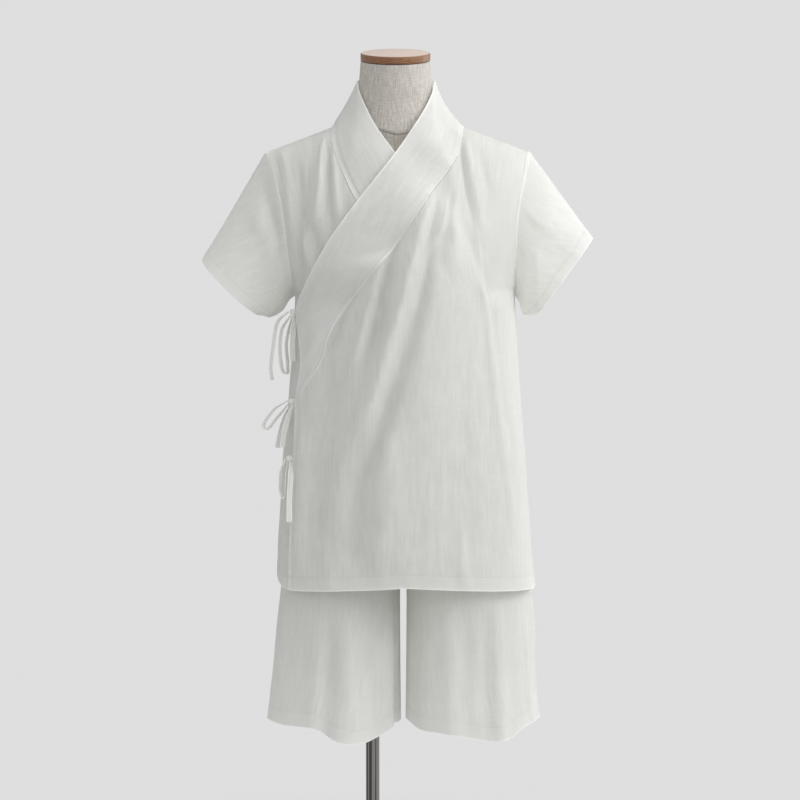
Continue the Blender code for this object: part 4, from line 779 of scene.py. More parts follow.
def declare(piece, node):
    """The piece stands for a node, whose own part is hidden, under the root body."""
    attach(piece, "root")
    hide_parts(node)
    return piece


def hem_rise(distance, depth):
    """How far a turned hem's second layer lifts the cloth, with its stitched groove."""
    fold = 1 - smooth_step(distance, depth - HEM_STEP_BEFORE, depth + HEM_STEP_AFTER)
    return HEM_STEP * (fold - bell(distance - depth, GROOVE_WIDTH))


def pucker(distance, depth, along):
    """Small ripples that a stitched line draws into the cloth."""
    drift = PUCKER_DRIFT * np.sin(WAVE * along / PUCKER_DRIFT_LENGTH)
    ripple = np.sin(WAVE * along / PUCKER_LENGTH + drift)
    return PUCKER_HEIGHT * bell(distance - depth, PUCKER_REACH) * ripple


def turned_hem(from_hem, depth, along):
    """Height of a turned hem's layer and puckers, and its stitched line."""
    return hem_rise(from_hem, depth) + pucker(from_hem, depth, along), (from_hem - depth, along)


def doubled(past_hem):
    return 1 - smooth_step(past_hem, -LAYER_BLUR, LAYER_BLUR)


# Shading

def math_method(operation):
    """A method that adds a Math node for a signal and what it is called with."""
    return lambda signal, *others: signal.math(operation, signal, *others)


class Signal:
    """A value on its way to a shader; arithmetic on it adds Math nodes."""

    __add__, __sub__, __mul__, __truediv__ = map(math_method, ("ADD", "SUBTRACT", "MULTIPLY", "DIVIDE"))
    __abs__, root, sine, fraction, below = map(
        math_method, ("ABSOLUTE", "SQRT", "SINE", "FRACT", "LESS_THAN"))

    def __init__(self, finish, socket):
        self.finish, self.socket = finish, socket

    def math(self, operation, *values, clamp=False):
        settings = {"operation": operation, "use_clamp": clamp}
        return self.finish.node("ShaderNodeMath", settings, dict(enumerate(values)))

    def __rsub__(self, other):
        return self.math("SUBTRACT", other, self)

    def clamped(self):
        return self.math("ADD", self, 0.0, clamp=True)


class Finish:
    """One material; node() adds any node to it and returns an output as a Signal."""

    def __init__(self, name):
        self.material = bpy.data.materials.new(name)
        self.material.use_nodes = True
        self.tree = self.material.node_tree
        self.shader = self.tree.nodes["Principled BSDF"]
        self.place = self.node("ShaderNodeTexCoord", output=3)

    def set(self, socket, value):
        if isinstance(value, Signal):
            self.tree.links.new(value.socket, socket)
        else:
            socket.default_value = (*value, 1.0) if socket.type == "RGBA" else value

    def node(self, kind, settings=None, inputs=None, output=0):
        node = self.tree.nodes.new(kind)
        for key, value in (settings or {}).items():
            setattr(node, key, value)
        for key, value in (inputs or {}).items():
            self.set(node.inputs[key], value)
        return Signal(self, node.outputs[output])

    def surface(self, **inputs):
        for key, value in inputs.items():
            self.set(self.shader.inputs[key.replace("_", " ").title()], value)
        return self.material

    def blended(self, factor, kind, inputs):
        """Blends the surface with another shader."""
        other = self.node(kind, None, inputs)
        surface = Signal(self, self.shader.outputs[0])
        mixed = self.node("ShaderNodeMixShader", None, {0: factor, 1: surface, 2: other})
        self.set(self.tree.nodes["Material Output"].inputs["Surface"], mixed)
        return self.material

    def mix(self, factor, first, second):
        return self.node("ShaderNodeMix", {"data_type": "RGBA"}, {0: factor, 6: first, 7: second}, 2)

    def parts(self, vector):
        """The x, y and z of a vector."""
        split = self.node("ShaderNodeSeparateXYZ", None, {0: vector}).socket.node
        return [Signal(self, output) for output in split.outputs]

    def join(self, x, y, z=0.0):
        return self.node("ShaderNodeCombineXYZ", None, {0: x, 1: y, 2: z})

    def noise(self, vector, scale, detail=2.0, roughness=0.5):
        return self.node("ShaderNodeTexNoise", None,
                         {"Vector": vector, "Scale": scale, "Detail": detail, "Roughness": roughness})

    def bump(self, height, distance, strength):
        return self.node("ShaderNodeBump", None,
                         {"Strength": strength, "Distance": distance, "Height": height})

    def map_parts(self, name):
        return self.parts(self.node("ShaderNodeUVMap", {"uv_map": name}))

    def threads(self, u, v, spacing):
        """Plain weave: threads that pass over and under each other."""
        turn = math.pi / spacing
        return (u * turn).sine() * (v * turn).sine() * 0.5 + 0.5

    def slubs(self, u, v, table):
        """Threads of uneven thickness, summed from a table's noises."""
        first, *others = [self.noise(self.join(u * across, v * along), 1.0, detail, roughness) * share
                          for across, along, detail, roughness, share in table]
        return sum(others, first)

    def stitches(self, map_name, length):
        """A stitched line where the map's distance is nothing, and its dashes."""
        away, along, _ = self.map_parts(map_name)
        line = (1.0 - abs(away) / STITCH_REACH).clamped()
        return line, line * (along / length).fraction().below(STITCH_SHARE)


def toned(colour, factor):
    """A colour made darker or lighter, up to white."""
    return [min(c * factor, 1.0) for c in colour]


def cotton_finish(name, cloth, tint, sheerness, layer_tone=0.95, layer_body=0.0, stitch_tone=0.62):
    """Thin bleached plain weave, uneven in its threads and slightly sheer where single; its folded edges
    carry a painted highlight.
    """
    finish = Finish(name)
    u, v, _ = finish.map_parts("weave")
    fold, layers, _ = finish.map_parts("fold")
    threads = finish.threads(u, v, cloth.thread)
    slubs = finish.slubs(u, v, COTTON_SLUBS)
    line_a, stitches_a = finish.stitches("stitch_a", cloth.stitch)
    line_b, stitches_b = finish.stitches("stitch_b", cloth.stitch)
    lines = line_a + line_b
    cloud = finish.noise(finish.place, 9.0, 3.0)
    # Mask of a folded edge: there the cloth lets less light through and carries a painted highlight
    rolled_edge_and_highlight = (1.0 - fold / ROLLED_EDGE_AND_HIGHLIGHT_REACH).clamped()
    colour = finish.mix((slubs * 4.4 - 1.7).clamped(), *[toned(tint, tone) for tone in COTTON_TONES])
    warm = [c * f for c, f in zip(tint, (0.95, 0.96, 0.93))]
    colour = finish.mix((cloud * 1.4 - 0.4).clamped() * 0.30, colour, warm)
    colour = finish.mix(layers * 0.5, colour, toned(tint, layer_tone))
    # Painted highlight: the colour turns lighter along a folded edge
    colour = finish.mix(rolled_edge_and_highlight * 0.7, colour, toned(tint, ROLLED_EDGE_HIGHLIGHT_TONE))
    colour = finish.mix(lines.clamped() * 0.42, colour, toned(tint, stitch_tone))
    height = threads * 0.16 + slubs * 0.85 + (stitches_a + stitches_b) * 1.3 - lines * 0.9
    normal = finish.bump(height, 0.00036, 0.9)
    finish.surface(base_color=colour, roughness=0.88 - slubs * 0.08, normal=normal,
                   sheen_weight=0.12, sheen_roughness=0.5)
    sheer = (1.0 - rolled_edge_and_highlight * 0.50) * (1.0 - layers * layer_body) * sheerness
    return finish.blended(sheer, "ShaderNodeBsdfTranslucent", {"Color": LIGHT_THROUGH, "Normal": normal})


def linen_finish(linen):
    """Coarse natural linen, with a dark line along its seam."""
    finish = Finish("linen_cover_weave")
    u, v, _ = finish.map_parts("weave")
    threads = finish.threads(u, v, LINEN_THREAD)
    streaks = (finish.slubs(u, v, LINEN_SLUBS) * 4.6 - 1.8).clamped()
    seam = (1.0 - abs(finish.map_parts("stitch_a")[0]) / LINEN_SEAM_REACH).clamped()
    colour = finish.mix(streaks, *[toned(linen, tone) for tone in LINEN_TONES])
    colour = finish.mix(finish.noise(finish.place, 38.0, 3.0) * 0.30, colour, toned(linen, 0.80))
    colour = finish.mix(seam * 0.72, colour, toned(linen, LINEN_SEAM_TONE))
    height = threads * 0.5 + streaks * 1.1 - seam * 2.0
    return finish.surface(base_color=colour, roughness=0.92, normal=finish.bump(height, 0.0003, 0.8))


def oak_finish(oak):
    """Oiled oak whose grain runs from side to side, with open pores; its face is paler, partly paler wood and
    partly a painted highlight for the light from above.
    """
    finish = Finish("oiled_oak_grain")
    x, y, z = finish.parts(finish.place)
    bend = finish.noise(finish.join(x * 7.0, y * 30.0, z * 30.0), 1.0, 2.0) * 0.006
    rings = ((y * 0.35 + bend + z) * 2300.0).sine() * 0.5 + 0.5
    grain = finish.noise(finish.join(x * 26.0, y * 420.0, z * 1100.0), 1.0, 4.0, 0.7)
    pores = (finish.noise(finish.join(x * 90.0, y * 1500.0, z * 2600.0), 1.0, 1.0) * 5.0 - 2.9).clamped()
    dark = (rings * 0.30 + grain * 2.6 - 1.0).clamped()
    colour = finish.mix(dark, toned(oak, 1.8), toned(oak, 0.40))
    colour = finish.mix(pores * 0.6, colour, toned(oak, 0.40))
    low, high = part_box("neck_cap")
    face_level = (low.z + high.z - NECK_TILT * (low.y + high.y)) / 2 + CAP_FACE
    face = ((z - y * NECK_TILT - face_level) / CAP_FACE_BLUR).clamped()
    # Painted highlight: the top face gets a paler colour with white added, for the light and gloss from above
    pale = [[c * f + white for c, f, white in zip(oak, factors, (0.38, 0.35, 0.325))]
            for factors in ((1.1, 1.2, 1.2), (0.5, 0.5, 0.5))]
    colour = finish.mix(face, colour, finish.mix(dark, *pale))
    return finish.surface(base_color=colour, roughness=grain * 0.2 + 0.46, coat_weight=0.16,
                          coat_roughness=0.22, normal=finish.bump(grain * 0.5 - pores, 0.00012, 0.6))


def metal_finish(name, colour, metallic, roughness, brush, streak_highlights=0.0):
    """Turned metal or enamel with fine marks; the tube can also get light lengthwise streaks, a painted
    highlight for its reflections.
    """
    finish = Finish(name)
    x, y, z = finish.parts(finish.place)
    marks = finish.noise(finish.join(x * brush[0], y * brush[0], z * brush[1]), 1.0, 3.0, 0.6)
    patches = finish.noise(finish.place, 22.0, 3.0)
    shade = finish.mix((patches * 1.5 - 0.4).clamped() * 0.5, colour, toned(colour, 1.35))
    if streak_highlights:
        # Painted highlight: light lengthwise streaks stand in for the reflections along the polished tube
        streaks = finish.noise(finish.join(x * 170.0, y * 170.0, z * 0.8), 1.0, 2.0)
        shade = finish.mix((streaks * 8.0 - 3.4).clamped() * streak_highlights, shade, toned(colour, 4.6))
    uneven = (marks - 0.5) * 0.18 + (patches - 0.5) * 0.08
    return finish.surface(base_color=shade, metallic=metallic, roughness=uneven + roughness,
                          normal=finish.bump(marks, 0.00006, 0.5))


MATERIALS = {}
MAKERS = {
    "cotton": lambda cloth, stand: cotton_finish(
        "white_cotton_weave", cloth, cloth.colour, cloth.sheerness),
    # A darker copy of the cotton: painted shade for the shorts, which hang lower and catch less light
    "shorts": lambda cloth, stand: cotton_finish(
        "white_cotton_shorts", cloth, toned(cloth.colour, SHORTS_PAINTED_SHADE), cloth.sheerness),
    "doubled": lambda cloth, stand: cotton_finish(
        "white_cotton_doubled", cloth, cloth.band_colour, cloth.band_sheerness, 1.02, 0.09, 0.70),
    "linen": lambda cloth, stand: linen_finish(stand.linen),
    "oak": lambda cloth, stand: oak_finish(stand.oak),
    # The steel's last value is the share of its painted highlight streaks
    "steel": lambda cloth, stand: metal_finish(
        "dark_steel_satin", stand.steel, 1.0, 0.20, (60.0, 2200.0), 0.9),
    "enamel": lambda cloth, stand: metal_finish(
        "grey_enamel_satin", stand.enamel, 0.0, 0.42, (900.0, 900.0)),
}


def material(name):
    """Each finish is made once, from the settings."""
    if name not in MATERIALS:
        scene = bpy.context.scene
        MATERIALS[name] = MAKERS[name](scene.pajama_cloth, scene.pajama_stand)
    return MATERIALS[name]


# Pieces

def panel_rows():
    """Rows from hem to shoulder, close together at the hem."""
    return stations(0, (0.62, 14), (UNDERARM_ROW, 57), (SHOULDER_ROW, 61))


def jacket_panel(name, face, grid, across, from_seam, from_edge):
    """A panel with its turned hem, its free edge's hem and the welts of its seams."""
    cloth = bpy.context.scene.pajama_cloth
    from_hem, u = lengths(grid, 0), lengths(grid, 1)
    rise, hem_line = turned_hem(from_hem, cloth.hem, u)
    welt = WELT_HEIGHT * (1 - smooth_step(from_seam, WELT_FROM, WELT_TO))
    grid = raised(grid, rise + hem_rise(from_edge, FREE_EDGE_HEM) + welt, flip=-face)
    fold = np.minimum(np.minimum(from_hem, from_seam), from_edge)
    layers = doubled(np.minimum(from_hem - cloth.hem, from_edge - FREE_EDGE_HEM))
    maps = cloth_maps(grid, hem_line, (from_edge - FREE_EDGE_HEM, from_hem),
                      upright_weave(grid, across), fold, layers)
    return cloth_mesh(name, grid, maps, turn=face == BACK)


def front_panel(name, side, columns, seed):
    """A front from its crossed edge to the side seam, armhole and shoulder."""
    row = panel_rows()[:, None]
    start = front_edge_across(side, row[:, 0])[:, None]
    across = start + (side - start) * np.linspace(0, 1, columns + 1)
    grid = front_point(side, across, row + 0 * across, seed)
    if side == WEARER_RIGHT:
        grid, across = grid[:, ::-1], across[:, ::-1]
    u = lengths(grid, 1)
    from_edge, from_seam = (u, u[:, -1:] - u)[::side]
    from_seam = np.where(row >= UNDERARM_ROW, from_seam, FAR)
    from_edge = np.where(row < FREE_EDGE_TOP_ROW, from_edge, FAR)
    return jacket_panel(name, FRONT, grid, across, from_seam, from_edge)


def neckline_row(across):
    """Rows of the back's neckline, a half oval behind the neck."""
    def below(row):
        place = jacket_base(BACK, across, row)
        from_middle = place[..., 0] - smooth_value(SIDE_COLUMNS[2], row)
        return place[..., 1] > NECK_BACK * np.sqrt(np.maximum(1 - (from_middle / NECK_HALF) ** 2, 0.0))
    row = halved(np.full_like(across, NECKLINE_ROW), np.full_like(across, SHOULDER_ROW), below)
    return np.where(np.abs(across) >= NECK_ACROSS, SHOULDER_ROW, row)


def back_panel():
    """The back; above the shoulder blades its rows close up under the neckline."""
    row = panel_rows()[:, None]
    across = stations(-1, (-NECK_ACROSS, 27), (NECK_ACROSS, 50), (1, 27))[None]
    share = np.maximum(row - NECKLINE_ROW, 0) / (SHOULDER_ROW - NECKLINE_ROW)
    level = np.minimum(row, NECKLINE_ROW) + share * (neckline_row(across) - NECKLINE_ROW)
    grid = jacket_point(BACK, across + 0 * level, level, BACK_CREASES, seed=5)
    u = lengths(grid, 1)
    from_seam = np.where(row >= UNDERARM_ROW, np.minimum(u, u[:, -1:] - u), FAR)
    return jacket_panel("jacket_back_cloth", BACK, grid, across, from_seam, FAR)


def collar_grid(side):
    """Points of the band from the middle of the back to the tie, seam first."""
    edge = np.array(EDGES[side])
    across = side * np.array(BACK_COLUMNS)
    seam_back = jacket_point(BACK, across, neckline_row(across))
    turn = np.arccos(np.minimum(np.abs(across) / NECK_ACROSS, 1.0))
    tip_back = np.stack((edge[0, 0] * np.cos(turn), NECK_BACK_EDGE * np.sin(turn),
                         edge[0, 1] + NECK_BACK_RISE * np.sin(turn)), axis=-1)
    seam_back[0, 0] = tip_back[0, 0] = side * SEAM_GAP / 2
    last, corner = len(BAND_ROWS) - 1, BAND_ROWS[::-1].index(CORNER_ROW)
    step = np.linspace(0, last, last * BAND_PARTS + 1)
    rows = np.interp(step, range(last + 1), BAND_ROWS[::-1])
    seam = front_point(side, front_edge_across(side, rows), rows)
    seam[0, 1] = 0.0
    at = (len(edge) - 1) * np.minimum(step / corner, 1.0)
    x, z, depth, hold = (smooth_value(column, at) for column in edge.T)
    down = np.clip((step - corner) / (last - corner), 0.0, 1.0)
    x = x + (seam[:, 0] - x) * down ** COLLAR_END_CURVE
    z = z + (seam[:, 2] + COLLAR_END - z) * down
    depth, hold = np.where(down > 0, 0.0, depth), np.where(down > 0, 1.0, np.clip(hold, 0, 1))
    seam = np.concatenate((seam_back, seam))
    tip = np.concatenate((tip_back, np.stack((x, -depth, z), axis=-1)))
    hold = np.concatenate((np.zeros(len(across)), hold))[:, None]
    start = seam + unit(tip - seam) * np.where(seam[:, 1:2] <= 0.0, SEAM_STEP, NECKLINE_STEP)
    share = np.linspace(0, 1, COLLAR_STRIPS + 1)[None, :, None]
    place = start[:, None] + (tip - start)[:, None] * share
    outwards = unit(place * (1, 1, 0))
    at_side = smooth_step(np.abs(outwards[..., :1]), COLLAR_SIDE_FROM, COLLAR_SIDE_TO)
    bulge = COLLAR_BULGE + (COLLAR_DRAW[side] - COLLAR_BULGE) * at_side
    free = place + outwards * bulge * 4 * share * (1 - share)
    held = raised_depth(side, place[..., 0], place[..., 2])
    kept = start[:, 1] - raised_depth(side, start[:, 0], start[:, 2])
    held = held + kept[:, None] * (1 - share[..., 0]) ** 2
    y = free[..., 1] + (held - free[..., 1]) * hold
    return np.where(hold[:, :, None] == 0, free, np.stack((place[..., 0], y, place[..., 2]), axis=-1))


def collar(name, side):
    """Doubled band whose folded upper edge carries a painted highlight, with stitching along its seam."""
    cloth = bpy.context.scene.pajama_cloth
    grid = refined(collar_grid(side), *COLLAR_PARTS)
    z, from_seam, along = grid[..., 2], lengths(grid, 1), lengths(grid, 0)
    width = from_seam[:, -1:]
    belly = np.sin(math.pi * from_seam / width)
    rise = cloth.rumple * COLLAR_RUMPLE * rumples(along, from_seam, z * COLLAR_RUMPLE_RISE, 11 + side) * belly
    rise += COLLAR_WAVE_HEIGHT * belly * np.sin(WAVE * along / COLLAR_WAVE_LENGTH + side)
    (rise_from, rise_to), (end_from, end_to) = SEAM_BAND
    band = smooth_step(from_seam, rise_from, rise_to) * (1 - smooth_step(from_seam, end_from, end_to))
    rise += SEAM_BAND_HEIGHT * band + COLLAR_GROOVE * bell(from_seam - SEAM_BAND_MIDDLE, SEAM_BAND_HALF)
    for place, shift in COLLAR_STITCHES:
        rise -= COLLAR_GROOVE * bell(from_seam - place, COLLAR_GROOVE_WIDTH)
        rise += COLLAR_PUCKER * pucker(from_seam, place, along + shift)
    if side == WEARER_LEFT:
        place, middle, half, height, depth = COLLAR_DIP
        rise -= depth * bell(from_seam - place, half) * bell(z - middle, height)
    grid = raised(grid, rise, flip=-side)
    lines = [(from_seam - place, along) for place, _ in COLLAR_STITCHES]
    layers = 1 - smooth_step(from_seam, *SEAM_BAND_DOUBLED)
    # Distance to the seam and to the folded upper edge, where the finish paints a highlight
    maps = cloth_maps(grid, *lines, None, np.minimum(from_seam, width - from_seam), layers)
    return cloth_mesh(name, grid, maps, "doubled", cloth.collar_wall, turn=side == WEARER_LEFT)


def armhole_loop(side):
    """Armhole from the underarm up the front and down the back, with each point's turn."""
    count = len(UPPER_ROWS) - 1
    index = np.linspace(0, count, count * SLEEVE_PARTS + 1)
    row = np.interp(index, range(count + 1), UPPER_ROWS)
    front = jacket_base(FRONT, side, row)
    back = jacket_base(BACK, side, row[::-1])[1:-1]
    front[0, 1] = front[-1, 1] = 0.0
    turn = np.concatenate((-90 + 180 * index / count, 90 + 180 * index[1:-1] / count))
    return np.concatenate((front, back)) + (side * ARMHOLE_STEP, 0.0, 0.0), turn


def turned_away(turn, middle):
    """Degrees between places round a sleeve and a middle, the short way."""
    return (turn - middle + 180) % 360 - 180


def sleeve(name, side, seed):
    """Loft from the armhole to the open hem, drooping where no arm fills it."""
    cloth = bpy.context.scene.pajama_cloth
    top, foot = np.array(SLEEVE_TOP[side]), np.array(SLEEVE_FOOT[side])
    loop, turn = armhole_loop(side)
    angle = np.radians(turn)
    end = (top + foot) / 2 + (top - foot) / 2 * np.sin(angle)[:, None]
    end[:, 1] -= SLEEVE_SWELL[side] * np.cos(angle)
    facing_front = np.maximum(np.cos(angle), 0.0)
    outwards = unit(np.array((top[2] - foot[2], 0.0, foot[0] - top[0]))) * side
    end += outwards * SLEEVE_BOW[side] * facing_front[:, None]
    out = stations(0, (0.76, 32), (1, 12))[:, None]
    grid = loop + (end - loop) * out[..., None]
    low = smooth_step(-np.sin(angle), SLEEVE_LOW_FROM, 1.0)
    grid[..., 2] -= low * smooth_value(SLEEVE_SAG[side], (len(SLEEVE_SAG[side]) - 1) * out)
    turn_place, turn_shift, turn_height = SLEEVE_TURN[side]
    turn_place = turn_place + turn_shift * low
    inner, outer = out / turn_place, (1 - out) / (1 - turn_place)
    turned = (inner + outer - np.hypot(inner - outer, SLEEVE_TURN_ROUNDNESS)) / 2
    grid[..., 1] -= turn_height * facing_front * turned
    grid[..., 0] += side * low * (ARMHOLE_EASE + SLEEVE_CLEAR * np.sin(math.pi * out))
    rise = np.zeros(grid.shape[:2])
    for start, stop, width, height in SLEEVE_CREASES:
        rise += height * bell(turned_away(turn, start + (stop - start) * out), width)
    rise *= smooth_step(out, 0.0, SLEEVE_CREASE_START) * (1 - SLEEVE_CREASE_LOSS * out)
    for place, middle, reach, width, height in ARMHOLE_FOLDS[side]:
        fold = bell(out - place, width) * bell(turned_away(turn, middle), reach)
        rise += height * fold * smooth_step(out, 0.0, ARMHOLE_FOLD_START)
    grid[..., 1] -= np.cos(angle) * rise
    along, u = lengths(grid, 0), lengths(grid, 1)
    from_hem = along[-1:] - along
    x, y, z = np.moveaxis(grid, -1, 0)
    rise, hem_line = turned_hem(from_hem, cloth.cuff, u)
    rise = rise + cloth.rumple * rumples(x, y * 2, z, seed) * smooth_step(along, 0.0, SLEEVE_SEAM_CALM)
    outward = grid - grid.mean(axis=1, keepdims=True)
    facing = np.sign((surface_normals(grid, ring=True) * outward).sum(axis=-1).mean())
    grid = raised(grid, rise, ring=True, flip=facing)
    layers = doubled(from_hem - cloth.cuff)
    maps = cloth_maps(grid, hem_line, fold=np.minimum(from_hem, along), layers=layers)
    return cloth_mesh(name, grid, maps, ring=True, turn=facing < 0)


def leg_point(side, face, along, row):
    """Points of a leg panel, along from the side seam (0) to its inner edge (1)."""
    z, right, left, front, back, gap, edge_share, power = (
        smooth_value(column, row) for column in zip(*SHORTS_ROWS))
    outer = right if side == WEARER_RIGHT else left
    depth = front if face == FRONT else back
    full = math.pi - np.arcsin(np.clip(edge_share, 0.0, 1.0))
    angle = along * full
    share = (np.cos(angle) - np.cos(full)) / (1 - np.cos(full))
    x = side * (gap + (outer - gap) * share)
    y = face * (SEAM_GAP / 2 + depth * np.maximum(np.sin(angle), 0.0) ** power)
    if face == FRONT:
        hem = smooth_step(HEM_DROP_TOP - z, 0.0, HEM_DROP_TOP - SHORTS_ROWS[-1][0])
        z = z - hem * smooth_value(HEM_DROPS[side], (len(HEM_DROPS[side]) - 1) * along)
    return np.stack((SHORTS_LEAN + x, y, z + 0 * x), axis=-1)


def leg_panel(name, side, face):
    """A leg panel, with its soft creases, turned hem and the seam at its side."""
    cloth = bpy.context.scene.pajama_cloth
    last = len(SHORTS_ROWS) - 1
    row = stations(0, (last - 1, 77), (last, 18))[:, None]
    along, row = np.broadcast_arrays(np.linspace(0, 1, LEG_COLUMNS + 1), row)
    place = leg_point(side, face, along, row)
    inner = leg_point(side, face, np.maximum(along - ALONG_STEP, 0.0), row)
    outer = leg_point(side, face, np.minimum(along + ALONG_STEP, 1.0), row)
    normal = unit(np.cross(outer - inner, (0.0, 0.0, 1.0))) * side * face
    x, y, z = np.moveaxis(place, -1, 0)
    down = smooth_step(LEG_CREASE_TOP - z, 0.0, LEG_CREASE_GROWTH)
    rise = np.zeros(along.shape)
    for at_top, at_hem, width, height in LEG_CREASES[(side, face)]:
        rise += height * down * bell(along - at_top - (at_hem - at_top) * row / last, width)
    u, v = lengths(place, 1), lengths(place, 0)
    from_hem = v[-1:] - v
    fine, hem_line = turned_hem(from_hem, cloth.hem, u)
    fine = fine + cloth.rumple * rumples(x, y, z, 20 + 2 * side + face)
    fine = fine * smooth_step(np.minimum(along, 1 - along), 0.0, LEG_EDGE_CALM)
    seam = SIDE_SEAM_HEIGHT * bell(u - SIDE_SEAM_PLACE, SIDE_SEAM_HALF) * smooth_step(u, 0.0, SIDE_SEAM_START)
    grid = place + normal * (rise + fine + seam)[..., None]
    maps = cloth_maps(grid, hem_line, (u - SIDE_SEAM_STITCH, v), (u, grid[..., 2]),
                      np.minimum(from_hem, u), doubled(from_hem - cloth.hem))
    return cloth_mesh(name, grid, maps, "shorts", turn=side * face < 0)


def waist_casing():
    """Gathered casing round the waist, over its elastic."""
    low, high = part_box("shorts_waistband")
    middle, half = (low + high) / 2, (high - low) / 2
    turn = np.linspace(0, 2 * math.pi, CASING_COLUMNS + 1)[:-1]
    level = np.linspace(low.z, high.z, CASING_ROWS + 1)[:, None]
    x = middle.x - NECK_AXIS_X + (half.x - CASING_INSET) * np.cos(turn)
    y = middle.y + (half.y - CASING_INSET) * np.sin(turn)
    grid = np.stack(np.broadcast_arrays(x, y, level), axis=-1)
    drift = CASING_DRIFT * np.sin(turn * CASING_DRIFTS)
    gathers = CASING_GATHER * np.sin(turn * CASING_GATHERS + drift) + 0 * level
    grid = raised(grid, gathers, ring=True)
    u, v = lengths(grid, 1), lengths(grid, 0)
    maps = cloth_maps(grid, *[(v - place, u) for place in CASING_STITCHES])
    return cloth_mesh("shorts_waist_casing", grid, maps, wall=CASING_WALL, ring=True)


def strip(name, bow, route, width_way):
    """Flat folded tie that follows its route from the knot and gathers there."""
    cloth = bpy.context.scene.pajama_cloth
    at = np.linspace(0, len(route) - 1, STRIP_STEPS + 1)
    offsets = smooth_value(route, at)
    line = np.array(KNOTS[bow]) + offsets
    along = unit(np.gradient(line, axis=0))
    way = np.array(width_way)
    way = unit(way - along * (along @ way)[:, None])
    spread = smooth_step(np.linalg.norm(offsets, axis=1), *PINCH_REACH)[:, None]
    half = cloth.tie_width / 2 * (KNOT_PINCH + (1 - KNOT_PINCH) * spread)
    share = np.linspace(-1, 1, STRIP_COLUMNS + 1)
    length = np.linspace(0, 1, STRIP_STEPS + 1)[:, None]
    turning = np.sin(TIE_CURL_START + TIE_CURL_TURNS * length)
    curl = TIE_CURL * (share ** 2 - TIE_CURL_MIDDLE) * turning * spread
    gather = TIE_GATHER * (1 - spread) * np.cos(share * TIE_GATHERS * math.pi)
    grid = (line[:, None] + way[:, None] * (half * share)[..., None]
            + np.cross(along, way)[:, None] * (curl + gather)[..., None])
    u, v = lengths(grid, 1), lengths(grid, 0)
    maps = cloth_maps(grid, (u - TIE_STITCH, v), fold=np.minimum(u, u[:, -1:] - u))
    return cloth_mesh(name, grid, maps, wall=cloth.tie_wall)


def knot(bow):
    """Knot of wound strip, with slanting folds."""
    tilt = np.linspace(0.0, math.pi, KNOT_RINGS + 1)[:, None]
    turn = np.linspace(0, 2 * math.pi, KNOT_AROUND + 1)[:-1]
    way = np.stack(np.broadcast_arrays(np.sin(tilt) * np.cos(turn), np.sin(tilt) * np.sin(turn),
                                       np.cos(tilt)), axis=-1)
    body = way / (np.abs(way) ** 3).sum(axis=-1, keepdims=True) ** (1 / 3)
    slant = body[..., 2] + KNOT_LEANS[bow] * body[..., 0]
    groove = np.abs(np.sin(KNOT_GROOVES * slant + KNOT_GROOVE_START)) ** KNOT_GROOVE_SHARPNESS
    ripple = np.sin(KNOT_RIPPLES * body[..., 1] + KNOT_RIPPLE_SLANT * slant) ** 2
    folds = 1 - KNOT_GROOVE * groove - KNOT_RIPPLE * ripple
    grid = np.array(KNOTS[bow]) + body * folds[..., None] * np.array(KNOT_SIZE) / 2
    points = np.concatenate((grid[0, :1], grid[1:-1].reshape(-1, 3), grid[-1, :1]))

    def point_at(i, j):
        """Index of a point; each end of the knot is a single one."""
        return min(max((i - 1) * KNOT_AROUND + j % KNOT_AROUND + 1, 0), len(points) - 1)
    faces = []
    for i in range(KNOT_RINGS):
        for j in range(KNOT_AROUND):
            corners = (point_at(i, j), point_at(i + 1, j), point_at(i + 1, j + 1), point_at(i, j + 1))
            faces.append(list(dict.fromkeys(corners)))
    x, y, z = points.T
    maps = cloth_maps(points[None], weave=(x + NECK_AXIS_X + y, z))
    piece = mapped_piece("tie_%s_knot_wound" % bow, points, faces, maps, "cotton")
    piece.data.shade_smooth()
    return piece


def torso_lean(z):
    """The torso leans to the wearer's left, and the neck stands on the axis."""
    shoulder = TORSO_LEAN * (1 - smooth_step(z, *NECK_HEIGHTS))
    return shoulder + (WAIST_LEAN - TORSO_LEAN) * (1 - smooth_step(z, *CHEST_HEIGHTS))


def form_cover():
    """Smooth padded torso and neck in linen, with a seam round the neck's foot."""
    last = len(TORSO_LEVELS) - 1
    level = np.linspace(0, last, last * TORSO_PARTS + 1)[:, None]
    turn = np.linspace(0, 2 * math.pi, TORSO_COLUMNS + 1)[:-1]
    z, half, front, back, power, slope = (smooth_value(column, level) for column in zip(*TORSO_LEVELS))
    c, s = np.cos(turn), np.sin(turn)
    x = half * np.sign(c) * np.abs(c) ** (2 / power)
    y = np.where(s > 0, back, front) * np.sign(s) * np.abs(s) ** (2 / power)
    grid = np.stack((torso_lean(z) + x, y, z + slope * y), axis=-1)
    v, u = lengths(grid, 0), lengths(grid, 1)
    from_front = (turn + math.pi * 3 / 2) % (2 * math.pi) - math.pi
    seam_at = smooth_value(v, NECK_SEAM_LEVEL * TORSO_PARTS)
    from_seam = v - seam_at - NECK_SEAM_RISE * (1 - bell(from_front, NECK_SEAM_SPREAD))
    (height, place, half), (depth, groove_half) = NECK_SEAM_WELT, NECK_SEAM_GROOVE
    rise = height * bell(from_seam - place, half) - depth * bell(from_seam, groove_half)
    grid = raised(grid, rise, ring=True)
    rows, columns = grid.shape[:2]
    faces = grid_faces(rows, columns, ring=True)
    faces += [range(columns)[::-1], range((rows - 1) * columns, rows * columns)]
    maps = cloth_maps(grid, (from_seam, u), weave=(turn * COVER_RADIUS, grid[..., 2]))
    return finished(mapped_piece("form_cover", grid, faces, maps, "linen"), 40)


